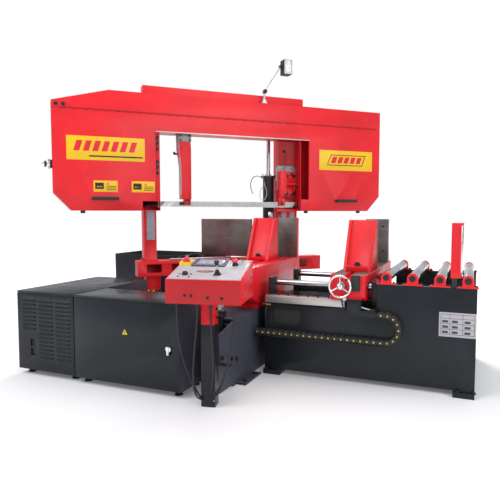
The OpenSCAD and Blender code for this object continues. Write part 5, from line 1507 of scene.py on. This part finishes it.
@dataclass
class Carriage(Section):
    """The feed carriage with its vise, its handwheel and the cable chain."""

    body: str = "feed_carriage"
    left: float = 1.069
    width: float = 0.274
    front: float = -1.150
    wheel: Triple = (1.160, -1.210, 0.782)
    chain_front: float = -1.190
    chain_deep: float = 0.080
    chain_low_z: float = 0.363
    chain_left: float = 0.434
    chain_right: float = 1.497
    chain_radius: float = 0.106

    def build(self) -> None:
        """Makes the carriage."""
        right = self.left + self.width
        self.skin("feed_carriage", RED, "red_paint", 0.003, areas=[
            (JAW, lambda c, n: c.z > 0.8675 and n.z > 0.9),
            (SLATE, lambda c, n: c.y < -1.1035 and c.z < 0.6637)])
        self.skin("feed_rear_jaw", RED, "red_paint", 0.003, areas=[(JAW, lambda c, n: c.y < 0.0905)])
        self.bolts("rear_jaw_bolts", [(self.left + x, 0.050, z) for x in (0.10, 0.22) for z in (0.98, 1.22)],
                   FRONT, 0.008)
        Section(body="feed_jaw").skin("feed_jaw", RED, "red_paint", 0.003, areas=[(JAW, lambda c, n: c.y > -0.6015)])
        self.bolts("feed_jaw_bolt", [(1.223, -0.855, 0.923)], UP, 0.020, body="feed_jaw")
        case = Bench.box((1.240, self.front - 0.030, 0.747), (1.305, self.front + 0.002, 0.868), 0.003)
        lid = Bench.box((1.246, self.front - 0.033, 0.753), (1.299, self.front - 0.029, 0.862), 0.001)
        self.put([case, lid], BLACK, "sensor_box", "black_plastic")
        self.bolts("side_plate_bolts", [(right, y, 0.768) for y in (-1.06, -0.94, -0.39, -0.27, 0.15)], RIGHT,
                   0.009)
        for name, x in (("left", self.left), ("right", right)):
            seals = [Bench.turned([(0.0265, 0), (0.036, 0), (0.036, 0.005), (0.034, 0.007), (0.0265, 0.007)],
                                  (x, y, 0.765), (-1 if name == "left" else 1, 0, 0), 32) for y in (-1.000, -0.330)]
            self.put(seals, BLACK, f"{name}_rod_wipers", "black_plastic")
        self.handwheel()
        self.hoses()
        self.chain()

    def handwheel(self) -> None:
        """The chromed handwheel with three spokes and a grip."""
        x, y, z = self.wheel
        Bench.clear()
        bpy.ops.mesh.primitive_torus_add(major_segments=72, minor_segments=18, major_radius=0.0835,
                                         minor_radius=0.009,
                                         location=self.wheel, rotation=(math.pi / 2, 0, 0))
        parts = [Bench.settle(bpy.context.object)]
        parts.append(Bench.turned([(0, -0.016), (0.018, -0.016), (0.021, -0.010), (0.022, 0.010), (0.017, 0.015),
                                   (0.008, 0.017),
                                   (0, 0.017)], self.wheel, FRONT, 32))
        parts.append(Bench.rod((x, y, z), (x, self.front + 0.050, z), 0.012, 28))
        for angle in (90, 210, 330):
            a = math.radians(angle)
            tip = (x + 0.083 * math.cos(a), y, z + 0.083 * math.sin(a))
            parts.append(Bench.rod(self.wheel, tip, 0.0085, 16, end_radius=0.0055))
        wheel = Bench.dress(Bench.join(parts), CHROME)
        self.add(wheel, "handwheel_wheel", "chrome", body="handwheel", stands_for=["handwheel"])
        a = math.radians(45)
        grip = Bench.turned([(0, 0), (0.004, 0), (0.004, 0.010), (0.009, 0.014), (0.0105, 0.030), (0.008, 0.046),
                             (0, 0.049)],
                            (x + 0.0835 * math.cos(a), y - 0.004, z + 0.0835 * math.sin(a)), FRONT, 20)
        self.put(grip, BLACK, "handwheel_grip", "black_plastic", body="handwheel")
        dial = Bench.turned([(0.013, 0), (0.032, 0), (0.032, 0.014), (0.030, 0.017), (0.013, 0.017)],
                            (x, self.front, z), FRONT, 36)
        self.put(dial, ZINC, "handwheel_dial", "chrome")

    def hoses(self) -> None:
        """Two hoses from under the carriage to the chain's fixed end."""
        y = -1.168
        self.lead(
            "carriage_hose",
            [(1.169, y, 0.673), (1.170, y, 0.655), (1.174, y, 0.636), (1.180, y, 0.618), (1.189, y, 0.601),
             (1.200, y, 0.586),
             (1.214, y, 0.573), (1.230, y, 0.564), (1.248, y, 0.559), (1.267, y, 0.557), (1.287, y, 0.558),
             (1.307, y, 0.561),
             (1.327, y, 0.565), (1.347, y, 0.569), (1.365, y, 0.573)], 0.005, RUBBER)
        y = -1.180
        self.lead(
            "chain_conduit",
            [(1.196, y, 0.700), (1.201, y, 0.692), (1.208, y, 0.684), (1.217, y, 0.676), (1.228, y, 0.668),
             (1.240, y, 0.661),
             (1.253, y, 0.654), (1.267, y, 0.648), (1.282, y, 0.642), (1.297, y, 0.636), (1.313, y, 0.631),
             (1.329, y, 0.626),
             (1.346, y, 0.621), (1.364, y, 0.617), (1.382, y, 0.613), (1.396, y, 0.610)], 0.0055, ZINC)
        clamp = Bench.box((1.176, self.front - 0.040, 0.672), (1.206, self.front + 0.002, 0.704), 0.003)
        self.put(clamp, ZINC, "conduit_clamp", "chrome")
        block = Bench.box((1.388, -1.190, 0.592), (1.424, self.front - 0.038, 0.622), 0.003)
        self.put(block, BLACK_STEEL, "conduit_block", "black_steel")

    def chain(self) -> None:
        """The cable chain: a lower run, the bend and the upper run."""
        low, mid, r = self.chain_low_z, self.chain_low_z + self.chain_radius, self.chain_radius
        upper = low + 2 * r
        lower = self.links([(Vector((self.chain_left + 0.025 + 0.0506 * k, 0, low)), 0.0) for k in range(21)])
        self.add(lower, "chain_lower_links", "black_plastic", body="root", stands_for=["chain_lower"])
        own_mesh(lower)
        places = []
        for k in range(7):
            a = math.radians(-90 + 180 * (k + 0.5) / 7)
            places.append((Vector((self.chain_right + r * math.cos(a), 0, mid + r * math.sin(a))), a + math.pi / 2))
        count = 5
        for k in range(count):
            x = self.chain_right - 0.027 - 0.0548 * k
            places.append((Vector((x, 0, upper)), math.pi))
        self.add(self.links(places), "chain_loop_links", "black_plastic", body="chain_loop",
                 stands_for=["chain_loop"])

    def links(self, places: Sequence[tuple[Vector, float]]) -> bpy.types.Object:
        """Chain links, each with two pins under yellow caps.

        Args:
            places: Each link's centre and the way it points.

        Returns:
            All of them as one piece.
        """
        y0, y1 = self.chain_front, self.chain_front + self.chain_deep
        outline = [(-0.026, -0.012), (-0.019, -0.0195), (0.019, -0.0195), (0.026, -0.012), (0.026, 0.012),
                   (0.019, 0.0195),
                   (-0.019, 0.0195), (-0.026, 0.012)]
        near = Bench.plate(outline, y0 + 0.002, y0 + 0.012, Plane.XZ, 0.002)
        far = Bench.plate(outline, y1 - 0.012, y1 - 0.002, Plane.XZ, 0.002)
        bars = [Bench.box((-0.012, y0 + 0.006, z - 0.002), (0.012, y1 - 0.006, z + 0.002),
                          0.0008) for z in (-0.0165, 0.0165)]
        body = Bench.dress(Bench.join([near, far, *bars]), BLACK)
        cap = Bench.turned([(0, 0), (0.0058, 0), (0.0054, 0.0015), (0, 0.002)], (0, y0 + 0.002, 0), FRONT, 10)
        cap = Bench.dress(cap, YELLOW_PLASTIC)
        link = Bench.join([body, cap])
        return Bench.copies(link, [Matrix.Translation(at) @ Matrix.Rotation(-turn, 4, "Y") for at, turn in places])


def main() -> None:
    """Builds the scene."""
    logging.basicConfig(level=logging.INFO, format="%(message)s")
    sections = (Studio(), Cables(), Console(), Bow(), Guides(), Gantry(), WorkLamp(), Base(), Cabinets(),
                FeedLine(), Carriage())
    for section in sections:
        LOG.info("-- %s", type(section).__name__)
        section.build()


if __name__ == "__main__":
    main()
